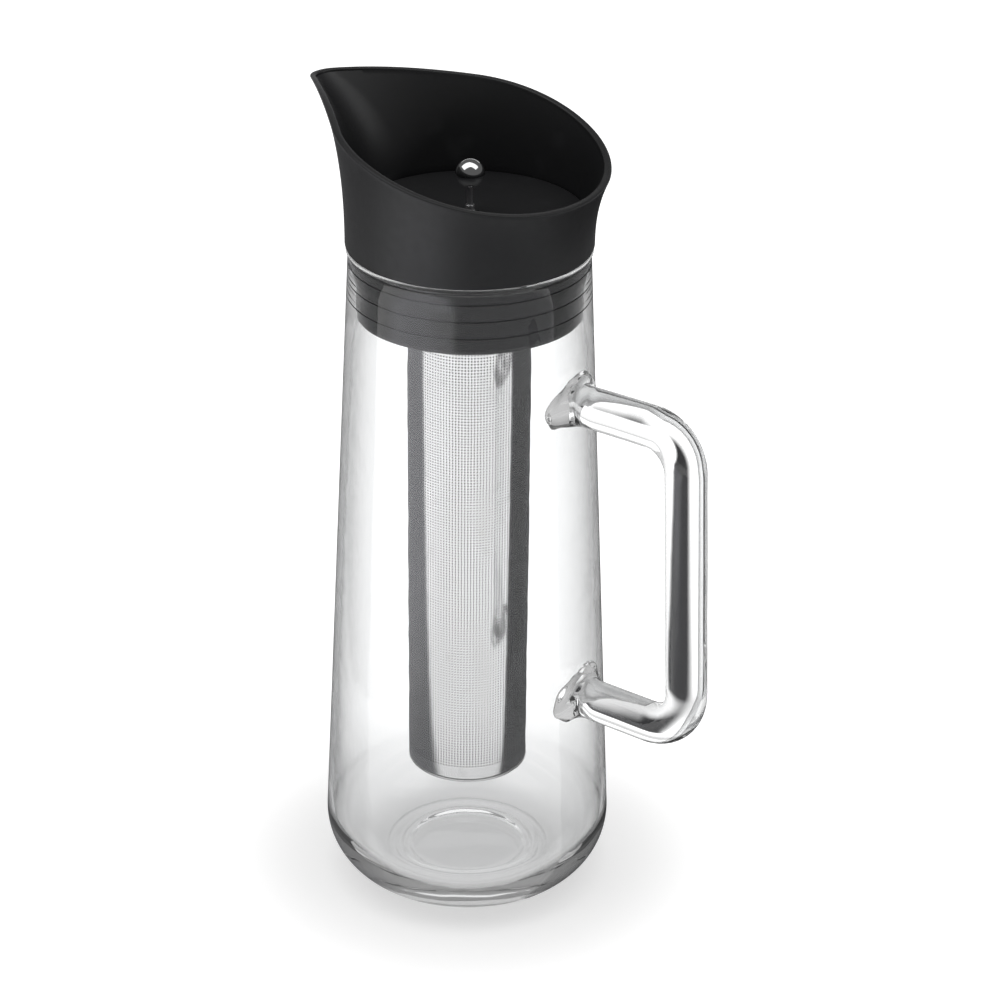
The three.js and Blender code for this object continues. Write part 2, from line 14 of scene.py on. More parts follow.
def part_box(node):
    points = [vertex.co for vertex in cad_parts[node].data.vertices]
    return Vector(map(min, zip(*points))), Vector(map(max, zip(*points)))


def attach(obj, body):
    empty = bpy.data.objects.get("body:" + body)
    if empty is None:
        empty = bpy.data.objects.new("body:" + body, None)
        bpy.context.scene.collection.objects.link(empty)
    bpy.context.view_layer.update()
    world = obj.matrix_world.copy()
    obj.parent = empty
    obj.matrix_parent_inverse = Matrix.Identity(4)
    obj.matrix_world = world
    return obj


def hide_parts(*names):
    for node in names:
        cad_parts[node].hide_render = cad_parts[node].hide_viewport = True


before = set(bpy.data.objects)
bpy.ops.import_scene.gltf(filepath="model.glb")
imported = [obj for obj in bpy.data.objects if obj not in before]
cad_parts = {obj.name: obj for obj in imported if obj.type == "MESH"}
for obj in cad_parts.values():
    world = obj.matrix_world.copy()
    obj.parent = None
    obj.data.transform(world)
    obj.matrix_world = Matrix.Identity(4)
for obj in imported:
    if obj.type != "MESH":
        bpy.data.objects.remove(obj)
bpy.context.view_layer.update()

LOG = logging.getLogger("coffee_maker")

MM = 0.001
FULL_TURN = 2 * math.pi
QUARTER_TURN = math.pi / 2
TURN_DEGREES = 360.0
AXIS_REACH = 1e-6
CLEARANCE = 0.3
EASED_SHARE = 0.45

Place = tuple[float, float]
Corner = tuple[float, float, float]
Colour = tuple[float, float, float]


# ---------------------------------------------------------------- mesh work


@dataclass
class Form:
    """Points in millimetres and the faces between them, before they become a mesh."""

    points: list[Vector]
    faces: list[tuple[int, ...]]

    def joined(self, other: "Form") -> "Form":
        """Puts another form beside this one.

        Args:
            other: Form whose points and faces are added.

        Returns:
            One form that holds both.
        """
        shift = len(self.points)
        faces = [tuple(corner + shift for corner in face) for face in other.faces]
        return Form(self.points + other.points, self.faces + faces)

    def moved(self, matrix: Matrix) -> "Form":
        """Places the form by a matrix.

        Args:
            matrix: Placing in millimetres.

        Returns:
            The placed form.
        """
        return Form([matrix @ point for point in self.points], self.faces)


def bridge(near: Sequence[int], far: Sequence[int]) -> list[tuple[int, ...]]:
    """Faces between two rings of points, either of which may be a single point.

    Args:
        near: Point numbers of the first ring.
        far: Point numbers of the second ring.

    Returns:
        Quads, or triangles where one ring is a point.
    """
    count = max(len(near), len(far))
    faces = []
    for step in range(count):
        following = (step + 1) % count
        if len(near) == 1:
            faces.append((near[0], far[following], far[step]))
        elif len(far) == 1:
            faces.append((near[step], near[following], far[0]))
        else:
            faces.append((near[step], near[following], far[following], far[step]))
    return faces


def lofted(rings: Sequence[Sequence[Vector]], closed: bool = False, capped: bool = False) -> Form:
    """Skin over a row of rings.

    Args:
        rings: Rings of points, all of one count or a single point.
        closed: Joins the last ring to the first.
        capped: Closes the first and last ring with a face each.

    Returns:
        The skinned form.
    """
    points: list[Vector] = []
    numbers = []
    for ring in rings:
        numbers.append(list(range(len(points), len(points) + len(ring))))
        points.extend(ring)
    faces = []
    for near, far in zip(numbers, numbers[1:]):
        faces.extend(bridge(near, far))
    if closed:
        faces.extend(bridge(numbers[-1], numbers[0]))
    if capped:
        faces.extend([tuple(numbers[0]), tuple(numbers[-1])])
    return Form(points, faces)


def turned(profile: Sequence[Place], sides: int, closed: bool = False) -> Form:
    """Form of a profile turned about the upright axis.

    Args:
        profile: Radius and height of each point.
        sides: Points round the axis.
        closed: Joins the profile's end to its start, as for a ring.

    Returns:
        The turned form.
    """
    rings = []
    for radius, height in profile:
        if radius < AXIS_REACH:
            rings.append([Vector((0, 0, height))])
            continue
        angles = [FULL_TURN * side / sides for side in range(sides)]
        rings.append([Vector((radius * math.cos(a), radius * math.sin(a), height)) for a in angles])
    return lofted(rings, closed)


def arc(centre: Place, radius: float, start: float, end: float, steps: int) -> list[Place]:
    """Points along a circular arc.

    Args:
        centre: Middle of the arc.
        radius: Radius of the arc.
        start: First angle in radians.
        end: Last angle in radians.
        steps: Spans between the points.

    Returns:
        The points, both ends included.
    """
    angles = [start + (end - start) * step / steps for step in range(steps + 1)]
    return [(centre[0] + radius * math.cos(a), centre[1] + radius * math.sin(a)) for a in angles]


def softened(corners: Sequence[Corner], closed: bool = True, steps: int = 4) -> list[Place]:
    """Rounds the corners of a profile.

    Args:
        corners: Radius, height and softness of each corner.
        closed: Whether the profile runs back to its start.
        steps: Spans along each rounded corner.

    Returns:
        The profile with its corners eased.
    """
    places: list[Place] = []
    count = len(corners)
    for number, (across, up, soft) in enumerate(corners):
        if soft <= 0 or (not closed and number in (0, count - 1)):
            places.append((across, up))
            continue
        corner = Vector((across, up))
        ends = []
        for other in (corners[number - 1], corners[(number + 1) % count]):
            way = Vector(other[:2]) - corner
            reach = min(soft, EASED_SHARE * way.length)
            ends.append(corner + way.normalized() * reach)
        for step in range(steps + 1):
            share = step / steps
            start, end = ends[0].lerp(corner, share), corner.lerp(ends[1], share)
            point = start.lerp(end, share)
            places.append((point.x, point.y))
    return places


def ring_of(corners: Sequence[Corner], sides: int) -> Form:
    """Ring of a closed cross-section with eased corners.

    Args:
        corners: Radius, height and softness of each corner.
        sides: Points round the axis.

    Returns:
        The ring.
    """
    return turned(softened(corners), sides, closed=True)


def prism(outline: Sequence[Place], foot: float, top: float) -> Form:
    """Upright prism of an outline.

    Args:
        outline: Corners seen from above.
        foot: Height of the lower face.
        top: Height of the upper face.

    Returns:
        The prism.
    """
    rings = [[Vector((x, y, height)) for x, y in outline] for height in (foot, top)]
    return lofted(rings, capped=True)


def mesh_of(form: Form, name: str) -> bpy.types.Mesh:
    """Mesh in metres with its faces all turned outwards.

    Args:
        form: Points and faces in millimetres.
        name: Name of the mesh.

    Returns:
        The mesh.
    """
    mesh = bpy.data.meshes.new(name)
    mesh.from_pydata([point * MM for point in form.points], [], form.faces)
    work = bmesh.new()
    work.from_mesh(mesh)
    bmesh.ops.recalc_face_normals(work, faces=work.faces)
    work.to_mesh(mesh)
    work.free()
    return mesh


class Joint(Enum):
    """Ways to combine two closed forms."""

    ADD = "UNION"
    CUT = "DIFFERENCE"


def combined(base: Form, others: Sequence[Form], joint: Joint, name: str) -> bpy.types.Mesh:
    """Adds closed forms to a base, or cuts them from it.

    Args:
        base: Form that is kept.
        others: Forms that are added or cut.
        joint: Whether to add or to cut.
        name: Name of the mesh.

    Returns:
        The combined mesh.
    """
    bodies = []
    for number, form in enumerate([base, *others]):
        body = bpy.data.objects.new(f"{name}_work_{number}", mesh_of(form, name))
        bpy.context.scene.collection.objects.link(body)
        bodies.append(body)
    for tool in bodies[1:]:
        step = bodies[0].modifiers.new("join", "BOOLEAN")
        step.operation, step.solver, step.object = joint.value, "EXACT", tool
    graph = bpy.context.evaluated_depsgraph_get()
    mesh = bpy.data.meshes.new_from_object(bodies[0].evaluated_get(graph))
    for body in bodies:
        bpy.data.objects.remove(body)
    mesh.name = name
    return mesh


# ---------------------------------------------------------------- node work


class Wiring:
    """Places shader nodes in one tree and joins their sockets."""

    def __init__(self, tree: bpy.types.NodeTree) -> None:
        """Starts with an empty tree."""
        self.tree = tree
        tree.nodes.clear()

    def node(self, kind: str, **settings: object) -> bpy.types.Node:
        """Adds a node.

        Args:
            kind: Name of the node type, without its ShaderNode prefix.
            settings: Properties of the node.

        Returns:
            The new node.
        """
        made = self.tree.nodes.new(kind if kind.startswith("NodeGroup") else f"ShaderNode{kind}")
        for key, value in settings.items():
            setattr(made, key, value)
        return made

    def feed(self, socket: bpy.types.NodeSocket, source: object) -> None:
        """Joins a socket to its source, or sets its plain value.

        Args:
            socket: Input socket.
            source: Output socket, number or colour.
        """
        if isinstance(source, bpy.types.NodeSocket):
            self.tree.links.new(source, socket)
        elif isinstance(source, tuple) and len(source) == 3 and socket.type == "RGBA":
            socket.default_value = (*source, 1.0)
        else:
            socket.default_value = source

    def math(self, operation: str, *values: object) -> bpy.types.NodeSocket:
        """Adds a Math node.

        Args:
            operation: Name of the sum.
            values: Sockets or numbers that go in.

        Returns:
            The node's output.
        """
        made = self.node("Math", operation=operation)
        for socket, value in zip(made.inputs, values):
            self.feed(socket, value)
        return made.outputs[0]

    def ramp(self, value: object, low: float, high: float, start: float, end: float) -> bpy.types.NodeSocket:
        """Maps a value smoothly from one span to another.

        Args:
            value: Socket that goes in.
            low: Lower end of its span.
            high: Upper end of its span.
            start: Result at the lower end.
            end: Result at the upper end.

        Returns:
            The mapped value.
        """
        made = self.node("MapRange", interpolation_type="SMOOTHSTEP")
        for socket, number in zip(made.inputs, (value, low, high, start, end)):
            self.feed(socket, number)
        return made.outputs[0]

    def mixed(self, factor: object, first: object, second: object) -> bpy.types.NodeSocket:
        """Mixes two colours.

        Args:
            factor: Share of the second colour.
            first: First colour.
            second: Second colour.

        Returns:
            The mixed colour.
        """
        made = self.node("Mix", data_type="RGBA")
        self.feed(made.inputs["Factor"], factor)
        self.feed(made.inputs[6], first)
        self.feed(made.inputs[7], second)
        return made.outputs[2]

    def noise(self, place: object, scale: object, detail: float = 2.0) -> bpy.types.NodeSocket:
        """Adds a noise texture.

        Args:
            place: Coordinates that go in.
            scale: Noise scale, a number or a socket.
            detail: Octaves of the noise.

        Returns:
            The noise value.
        """
        made = self.node("TexNoise")
        self.feed(made.inputs["Vector"], place)
        self.feed(made.inputs["Scale"], scale)
        self.feed(made.inputs["Detail"], detail)
        return made.outputs[0]

    def group(self, effect: "Effect", **values: float) -> bpy.types.Node:
        """Places a shared effect.

        Args:
            effect: The effect.
            values: Values of its named inputs.

        Returns:
            The group's node.
        """
        made = self.node("Group", node_tree=effect_tree(effect))
        for key, value in values.items():
            made.inputs[key].default_value = value
        return made


class Effect(Enum):
    """Effects that several finishes share."""

    GRAIN = "fine_grain"
    MARKS = "soft_marks"
    STREAKS = "drawn_streaks"
    HOLES = "punched_holes"


INPUTS: dict[Effect, tuple[str, ...]] = {
    Effect.GRAIN: ("Scale",),
    Effect.MARKS: ("Scale", "Cover"),
    Effect.STREAKS: ("Scale", "Stretch"),
    Effect.HOLES: ("Columns", "Pitch", "Row", "Hole", "Foot", "Top"),
}
OUTPUTS: dict[Effect, tuple[str, ...]] = {
    Effect.GRAIN: ("Height", "Spread"),
    Effect.MARKS: ("Mask",),
    Effect.STREAKS: ("Height", "Shade"),
    Effect.HOLES: ("Mask",),
}


def effect_tree(effect: Effect) -> bpy.types.NodeTree:
    """Node group of a shared effect, built the first time it is asked for.

    Args:
        effect: The effect.

    Returns:
        Its node group.
    """
    made = bpy.data.node_groups.get(effect.value)
    if made is not None:
        return made
    tree = bpy.data.node_groups.new(effect.value, "ShaderNodeTree")
    for name in INPUTS[effect]:
        tree.interface.new_socket(name=name, in_out="INPUT", socket_type="NodeSocketFloat")
    for name in OUTPUTS[effect]:
        tree.interface.new_socket(name=name, in_out="OUTPUT", socket_type="NodeSocketFloat")
    wiring = Wiring(tree)
    inside = wiring.node("NodeGroupInput").outputs
    outside = wiring.node("NodeGroupOutput").inputs
    place = wiring.node("TexCoord").outputs["Object"]
    builders: dict[Effect, Callable[..., None]] = {
        Effect.GRAIN: wire_grain,
        Effect.MARKS: wire_marks,
        Effect.STREAKS: wire_streaks,
        Effect.HOLES: wire_holes,
    }
    builders[effect](wiring, inside, outside, place)
    return tree


BROAD_GRAIN = 0.08
MARK_DETAIL = 5.0
MARK_EDGE = 0.75
MARK_SPAN = 0.4
MARK_STEEPNESS = 6.0
BROAD_STREAK = 0.15
POSITIVE_SHIFT = 1000.0


def wire_grain(wiring: Wiring, inside: object, outside: object, place: object) -> None:
    """Wires the fine grain of a moulded surface.

    Args:
        wiring: Tree of the group.
        inside: Outputs of the group's input node.
        outside: Inputs of the group's output node.
        place: Object coordinates.
    """
    fine = wiring.noise(place, inside["Scale"], 3.0)
    broad = wiring.noise(place, wiring.math("MULTIPLY", inside["Scale"], BROAD_GRAIN), 2.0)
    wiring.feed(outside["Height"], fine)
    wiring.feed(outside["Spread"], wiring.math("SUBTRACT", broad, 0.5))


def wire_marks(wiring: Wiring, inside: object, outside: object, place: object) -> None:
    """Wires faint handling marks.

    Args:
        wiring: Tree of the group.
        inside: Outputs of the group's input node.
        outside: Inputs of the group's output node.
        place: Object coordinates.
    """
    value = wiring.noise(place, inside["Scale"], MARK_DETAIL)
    edge = wiring.math("SUBTRACT", MARK_EDGE, wiring.math("MULTIPLY", inside["Cover"], MARK_SPAN))
    over = wiring.math("SUBTRACT", value, edge)
    clamped = wiring.node("Math", operation="MULTIPLY", use_clamp=True)
    wiring.feed(clamped.inputs[0], over)
    clamped.inputs[1].default_value = MARK_STEEPNESS
    wiring.feed(outside["Mask"], clamped.outputs[0])


def wire_streaks(wiring: Wiring, inside: object, outside: object, place: object) -> None:
    """Wires the long fine streaks of drawn metal.

    Args:
        wiring: Tree of the group.
        inside: Outputs of the group's input node.
        outside: Inputs of the group's output node.
        place: Object coordinates.
    """
    parts = wiring.node("SeparateXYZ")
    wiring.feed(parts.inputs[0], place)
    long = wiring.node("CombineXYZ")
    wiring.feed(long.inputs[0], parts.outputs[0])
    wiring.feed(long.inputs[1], parts.outputs[1])
    wiring.feed(long.inputs[2], wiring.math("MULTIPLY", parts.outputs[2], inside["Stretch"]))
    fine = wiring.noise(long.outputs[0], inside["Scale"], 2.0)
    broad = wiring.noise(long.outputs[0], wiring.math("MULTIPLY", inside["Scale"], BROAD_STREAK), 2.0)
    wiring.feed(outside["Height"], fine)
    wiring.feed(outside["Shade"], wiring.math("SUBTRACT", broad, 0.5))


def wire_holes(wiring: Wiring, inside: object, outside: object, place: object) -> None:
    """Wires a square grid of round holes punched in a tube about the upright axis.

    Args:
        wiring: Tree of the group.
        inside: Outputs of the group's input node.
        outside: Inputs of the group's output node.
        place: Object coordinates.
    """
    parts = wiring.node("SeparateXYZ")
    wiring.feed(parts.inputs[0], place)
    across, along, up = parts.outputs
    turn = wiring.math("DIVIDE", wiring.math("ARCTAN2", along, across), FULL_TURN)
    row = wiring.math("DIVIDE", wiring.math("SUBTRACT", up, inside["Foot"]), inside["Row"])
    column = wiring.math("MULTIPLY", turn, inside["Columns"])
    sideways = wiring.math("SUBTRACT", wiring.math("FRACT", wiring.math("ADD", column, POSITIVE_SHIFT)), 0.5)
    upright = wiring.math("SUBTRACT", wiring.math("FRACT", row), 0.5)
    width = wiring.math("MULTIPLY", sideways, inside["Pitch"])
    height = wiring.math("MULTIPLY", upright, inside["Row"])
    square = wiring.math("ADD", wiring.math("MULTIPLY", width, width), wiring.math("MULTIPLY", height, height))
    hole = wiring.math("LESS_THAN", wiring.math("SQRT", square), inside["Hole"])
    above = wiring.math("GREATER_THAN", up, inside["Foot"])
    below = wiring.math("LESS_THAN", up, inside["Top"])
    wiring.feed(outside["Mask"], wiring.math("MULTIPLY", hole, wiring.math("MULTIPLY", above, below)))


# ---------------------------------------------------------------- finishes


@dataclass(frozen=True)
class Finish:
    """Procedural finish of a surface, and the record's material slot that it stands for."""

    name: str
    slot: str

    def wire(self, wiring: Wiring, shader: bpy.types.Node, output: bpy.types.Node) -> None:
        """Wires the finish; each kind of finish does this its own way."""
        raise NotImplementedError

    def material(self) -> bpy.types.Material:
        """Material of this finish, made the first time it is asked for.

        Returns:
            The material.
        """
        made = bpy.data.materials.get(self.name)
        if made is not None:
            return made
        made = bpy.data.materials.new(self.name)
        made.use_nodes = True
        wiring = Wiring(made.node_tree)
        shader = wiring.node("BsdfPrincipled")
        output = wiring.node("OutputMaterial")
        wiring.feed(output.inputs["Surface"], shader.outputs[0])
        self.wire(wiring, shader, output)
        return made


def bump(wiring: Wiring, height: object, strength: float, depth: float) -> bpy.types.NodeSocket:
    """Adds a Bump node.

    Args:
        wiring: Tree of the material.
        height: Height that goes in.
        strength: Strength of the bump.
        depth: Depth of the bump in millimetres.

    Returns:
        The bumped normal.
    """
    made = wiring.node("Bump")
    made.inputs["Strength"].default_value = strength
    made.inputs["Distance"].default_value = depth * MM
    wiring.feed(made.inputs["Height"], height)
    return made.outputs[0]


@dataclass(frozen=True)
class ClearGlass(Finish):
    """Clear blown glass with a faint waviness, which lets most light through to the floor."""

    tint: Colour = (0.984, 0.988, 0.99)
    refraction: float = 1.47
    wave_size: float = 14.0
    wave_depth: float = 0.35
    wave_strength: float = 0.35
    # Share of the tint left at the silhouette: painted edge shade.
    grazing: float = 0.3
    caught_after: float = 4.5
    shade_facing: float = 0.97
    shade_edge: float = 0.5
    shade_blend: float = 0.35

    def wire(self, wiring: Wiring, shader: bpy.types.Node, output: bpy.types.Node) -> None:
        """Wires glass that casts a light shadow, lets go of light caught in its walls and is painted darker towards its
        silhouette.

        Args:
            wiring: Tree of the material.
            shader: Principled shader.
            output: Material output.
        """
        # Painted edge shade: the base colour darkens towards the silhouette, by the facing weight squared.
        slant = wiring.node("LayerWeight").outputs["Facing"]
        painted_edge_shade = tuple(level * self.grazing for level in self.tint)
        wiring.feed(shader.inputs["Base Color"], wiring.mixed(wiring.math("MULTIPLY", slant, slant), self.tint, painted_edge_shade))
        shader.inputs["Roughness"].default_value = 0.0
        shader.inputs["IOR"].default_value = self.refraction
        shader.inputs["Transmission Weight"].default_value = 1.0
        place = wiring.node("TexCoord").outputs["Object"]
        wave = wiring.noise(place, 1 / (self.wave_size * MM), 1.0)
        wiring.feed(shader.inputs["Normal"], bump(wiring, wave, self.wave_strength, self.wave_depth))
        rays = wiring.node("LightPath").outputs
        edge = wiring.node("LayerWeight")
        edge.inputs["Blend"].default_value = self.shade_blend
        facing, side = ((level, level, level) for level in (self.shade_facing, self.shade_edge))
        clear = wiring.node("BsdfTransparent")
        wiring.feed(clear.inputs[0], wiring.mixed(edge.outputs["Facing"], facing, side))
        caught = wiring.math("GREATER_THAN", rays["Glossy Depth"], self.caught_after)
        through = wiring.math("MAXIMUM", rays["Is Shadow Ray"], wiring.math("MAXIMUM", rays["Is Diffuse Ray"], caught))
        blend = wiring.node("MixShader")
        wiring.feed(blend.inputs[0], through)
        wiring.feed(blend.inputs[1], shader.outputs[0])
        wiring.feed(blend.inputs[2], clear.outputs[0])
        wiring.feed(output.inputs["Surface"], blend.outputs[0])


@dataclass(frozen=True)
class Moulding(Finish):
    """Moulded plastic or rubber: a dark body, a fine grain and a few soft marks."""

    colour: Colour = (0.0086, 0.0088, 0.0098)
    wear_and_caught_shade: Colour = (0.0154, 0.0158, 0.0172)
    roughness: float = 0.5
    spread: float = 0.1
    grain_size: float = 0.22
    grain_depth: float = 0.02
    grain_strength: float = 0.35
    mark_size: float = 16.0
    mark_cover: float = 0.35
    mark_roughness: float = 0.06
    specular: float = 0.5

    def wire(self, wiring: Wiring, shader: bpy.types.Node, output: bpy.types.Node) -> None:
        """Wires the grain into the roughness and the bump, and the marks into the colour.

        Args:
            wiring: Tree of the material.
            shader: Principled shader.
            output: Material output.
        """
        grain = wiring.group(Effect.GRAIN, Scale=1 / (self.grain_size * MM)).outputs
        marks = wiring.group(Effect.MARKS, Scale=1 / (self.mark_size * MM), Cover=self.mark_cover).outputs
        shader.inputs["Specular IOR Level"].default_value = self.specular
        wiring.feed(shader.inputs["Base Color"], wiring.mixed(marks["Mask"], self.colour, self.wear_and_caught_shade))
        uneven = wiring.math("MULTIPLY_ADD", grain["Spread"], self.spread, self.roughness)
        wiring.feed(shader.inputs["Roughness"], wiring.math("MULTIPLY_ADD", marks["Mask"], self.mark_roughness, uneven))
        wiring.feed(shader.inputs["Normal"], bump(wiring, grain["Height"], self.grain_strength, self.grain_depth))


@dataclass(frozen=True)
class Steel(Finish):
    """Stainless steel with fine streaks and soft marks."""

    colour: Colour = (0.78, 0.785, 0.79)
    dull: Colour = (0.66, 0.665, 0.67)
    roughness: float = 0.06
    spread: float = 0.06
    streak_size: float = 0.3
    stretch: float = 0.02
    streak_depth: float = 0.004
    streak_strength: float = 0.15
    anisotropy: float = 0.0
    mark_size: float = 5.0
    mark_cover: float = 0.4

    def surface(self, wiring: Wiring, shader: bpy.types.Node) -> tuple[object, object, object]:
        """Streaked and marked metal, before any holes.

        Args:
            wiring: Tree of the material.
            shader: Principled shader.

        Returns:
            Colour, roughness and height of the surface.
        """
        shader.inputs["Anisotropic"].default_value = self.anisotropy
        streaks = wiring.group(Effect.STREAKS, Scale=1 / (self.streak_size * MM), Stretch=self.stretch).outputs
        marks = wiring.group(Effect.MARKS, Scale=1 / (self.mark_size * MM), Cover=self.mark_cover).outputs
        colour = wiring.mixed(marks["Mask"], self.colour, self.dull)
        uneven = wiring.math("MULTIPLY_ADD", streaks["Shade"], self.spread, self.roughness)
        rough = wiring.math("MULTIPLY_ADD", marks["Mask"], self.spread, uneven)
        return colour, rough, streaks["Height"]

    def wire(self, wiring: Wiring, shader: bpy.types.Node, output: bpy.types.Node) -> None:
        """Wires plain steel.

        Args:
            wiring: Tree of the material.
            shader: Principled shader.
            output: Material output.
        """
        shader.inputs["Metallic"].default_value = 1.0
        colour, rough, height = self.surface(wiring, shader)
        wiring.feed(shader.inputs["Base Color"], colour)
        wiring.feed(shader.inputs["Roughness"], rough)
        wiring.feed(shader.inputs["Normal"], bump(wiring, height, self.streak_strength, self.streak_depth))


@dataclass(frozen=True)
class SieveSteel(Steel):
    """Satin steel sheet with a square grid of fine holes, painted as dark matt spots where the sheet is pierced:
    painted shade of the dark inside seen through each hole.
    """

    columns: int = 126
    pitch: float = 1.06
    row: float = 1.056
    hole: float = 0.25
    foot: float = 51.2
    top: float = 226.0
    # Colour of the painted holes: painted shade of the tube's inside.
    dark: Colour = (0.012, 0.012, 0.013)

    def wire(self, wiring: Wiring, shader: bpy.types.Node, output: bpy.types.Node) -> None:
        """Wires the sheet and its holes, which are painted dark as painted shade.

        Args:
            wiring: Tree of the material.
            shader: Principled shader.
            output: Material output.
        """
        colour, rough, height = self.surface(wiring, shader)
        holes = wiring.group(
            Effect.HOLES,
            Columns=self.columns,
            Pitch=self.pitch * MM,
            Row=self.row * MM,
            Hole=self.hole * MM,
            Foot=self.foot * MM,
            Top=self.top * MM,
        ).outputs["Mask"]
        # The holes are not cut: each is a dark, matt, non-metal spot, painted shade of the inside seen through it.
        solid = wiring.math("SUBTRACT", 1.0, holes)
        wiring.feed(shader.inputs["Metallic"], solid)
        wiring.feed(shader.inputs["Base Color"], wiring.mixed(holes, colour, self.dark))
        wiring.feed(shader.inputs["Roughness"], wiring.math("MAXIMUM", rough, holes))
        wiring.feed(shader.inputs["Normal"], bump(wiring, height, self.streak_strength, self.streak_depth))


GLASS = ClearGlass("clear_glass", "glass")
COLLAR_BLACK = Moulding("collar_black", "collar_plastic")
CORE_BLACK = Moulding("core_black", "core_plastic", roughness=0.42, grain_size=0.35)
SILICONE = Moulding(
    "dark_silicone",
    "silicone",
    colour=(0.008, 0.008, 0.009),
    wear_and_caught_shade=(0.016, 0.016, 0.017),
    roughness=0.36,
    grain_size=1.2,
    grain_depth=0.004,
    grain_strength=0.05,
    specular=0.18,
)
BUSH_WHITE = Moulding(
    "bush_white",
    "bush_plastic",
    colour=(0.74, 0.73, 0.69),
    wear_and_caught_shade=(0.66, 0.65, 0.6),
    roughness=0.4,
    grain_depth=0.008,
)
MIRROR_STEEL = Steel("mirror_steel", "polished_steel")
DRAWN_STEEL = Steel("drawn_steel", "polished_steel", colour=(0.84, 0.84, 0.85), roughness=0.34, spread=0.1)
SATIN_STEEL = Steel(
    "satin_steel",
    "satin_steel",
    colour=(0.72, 0.72, 0.72),
    dull=(0.62, 0.62, 0.62),
    roughness=0.2,
    anisotropy=0.4,
)
SIEVE_STEEL = SieveSteel(
    "sieve_steel",
    "satin_steel",
    colour=(0.68, 0.68, 0.68),
    dull=(0.6, 0.6, 0.6),
    roughness=0.14,
    anisotropy=0.4,
)


# ---------------------------------------------------------------- pieces


class Body(Enum):
    """Bodies of the frame."""

    CARAFE = "carafe"
    LID = "pouring_lid"
    VALVE = "valve"
    FILTER = "filter"


def place_piece(
    name: str,
    shape: "Form | bpy.types.Mesh",
    finish: Finish,
    body: Body,
    nodes: Sequence[str],
    crease: float = 35.0,
) -> bpy.types.Object:
    """Makes a finished piece, puts it on its body and hides the frame's nodes that it stands in for.

    Args:
        name: Name of the piece.
        shape: Form in millimetres, or a mesh in metres.
        finish: Finish of its surface.
        body: Body that it rides on.
        nodes: Nodes of the frame that it replaces.
        crease: Edges sharper than this many degrees stay sharp.

    Returns:
        The piece.
    """
    mesh = mesh_of(shape, name) if isinstance(shape, Form) else shape
    mesh.polygons.foreach_set("use_smooth", [True] * len(mesh.polygons))
    mesh.set_sharp_from_angle(angle=math.radians(crease))
    mesh.materials.clear()
    mesh.materials.append(finish.material())
    piece = bpy.data.objects.new(name, mesh)
    bpy.context.scene.collection.objects.link(piece)
    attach(piece, body.value)
    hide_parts(*nodes)
    LOG.info("%s: %d faces on %s", name, len(mesh.polygons), body.value)
    return piece


def heights(node: str) -> tuple[float, float]:
    """Lowest and highest point of a frame node, in millimetres.

    Args:
        node: Name of the node.

    Returns:
        The two heights.
    """
    low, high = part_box(node)
    return low.z / MM, high.z / MM


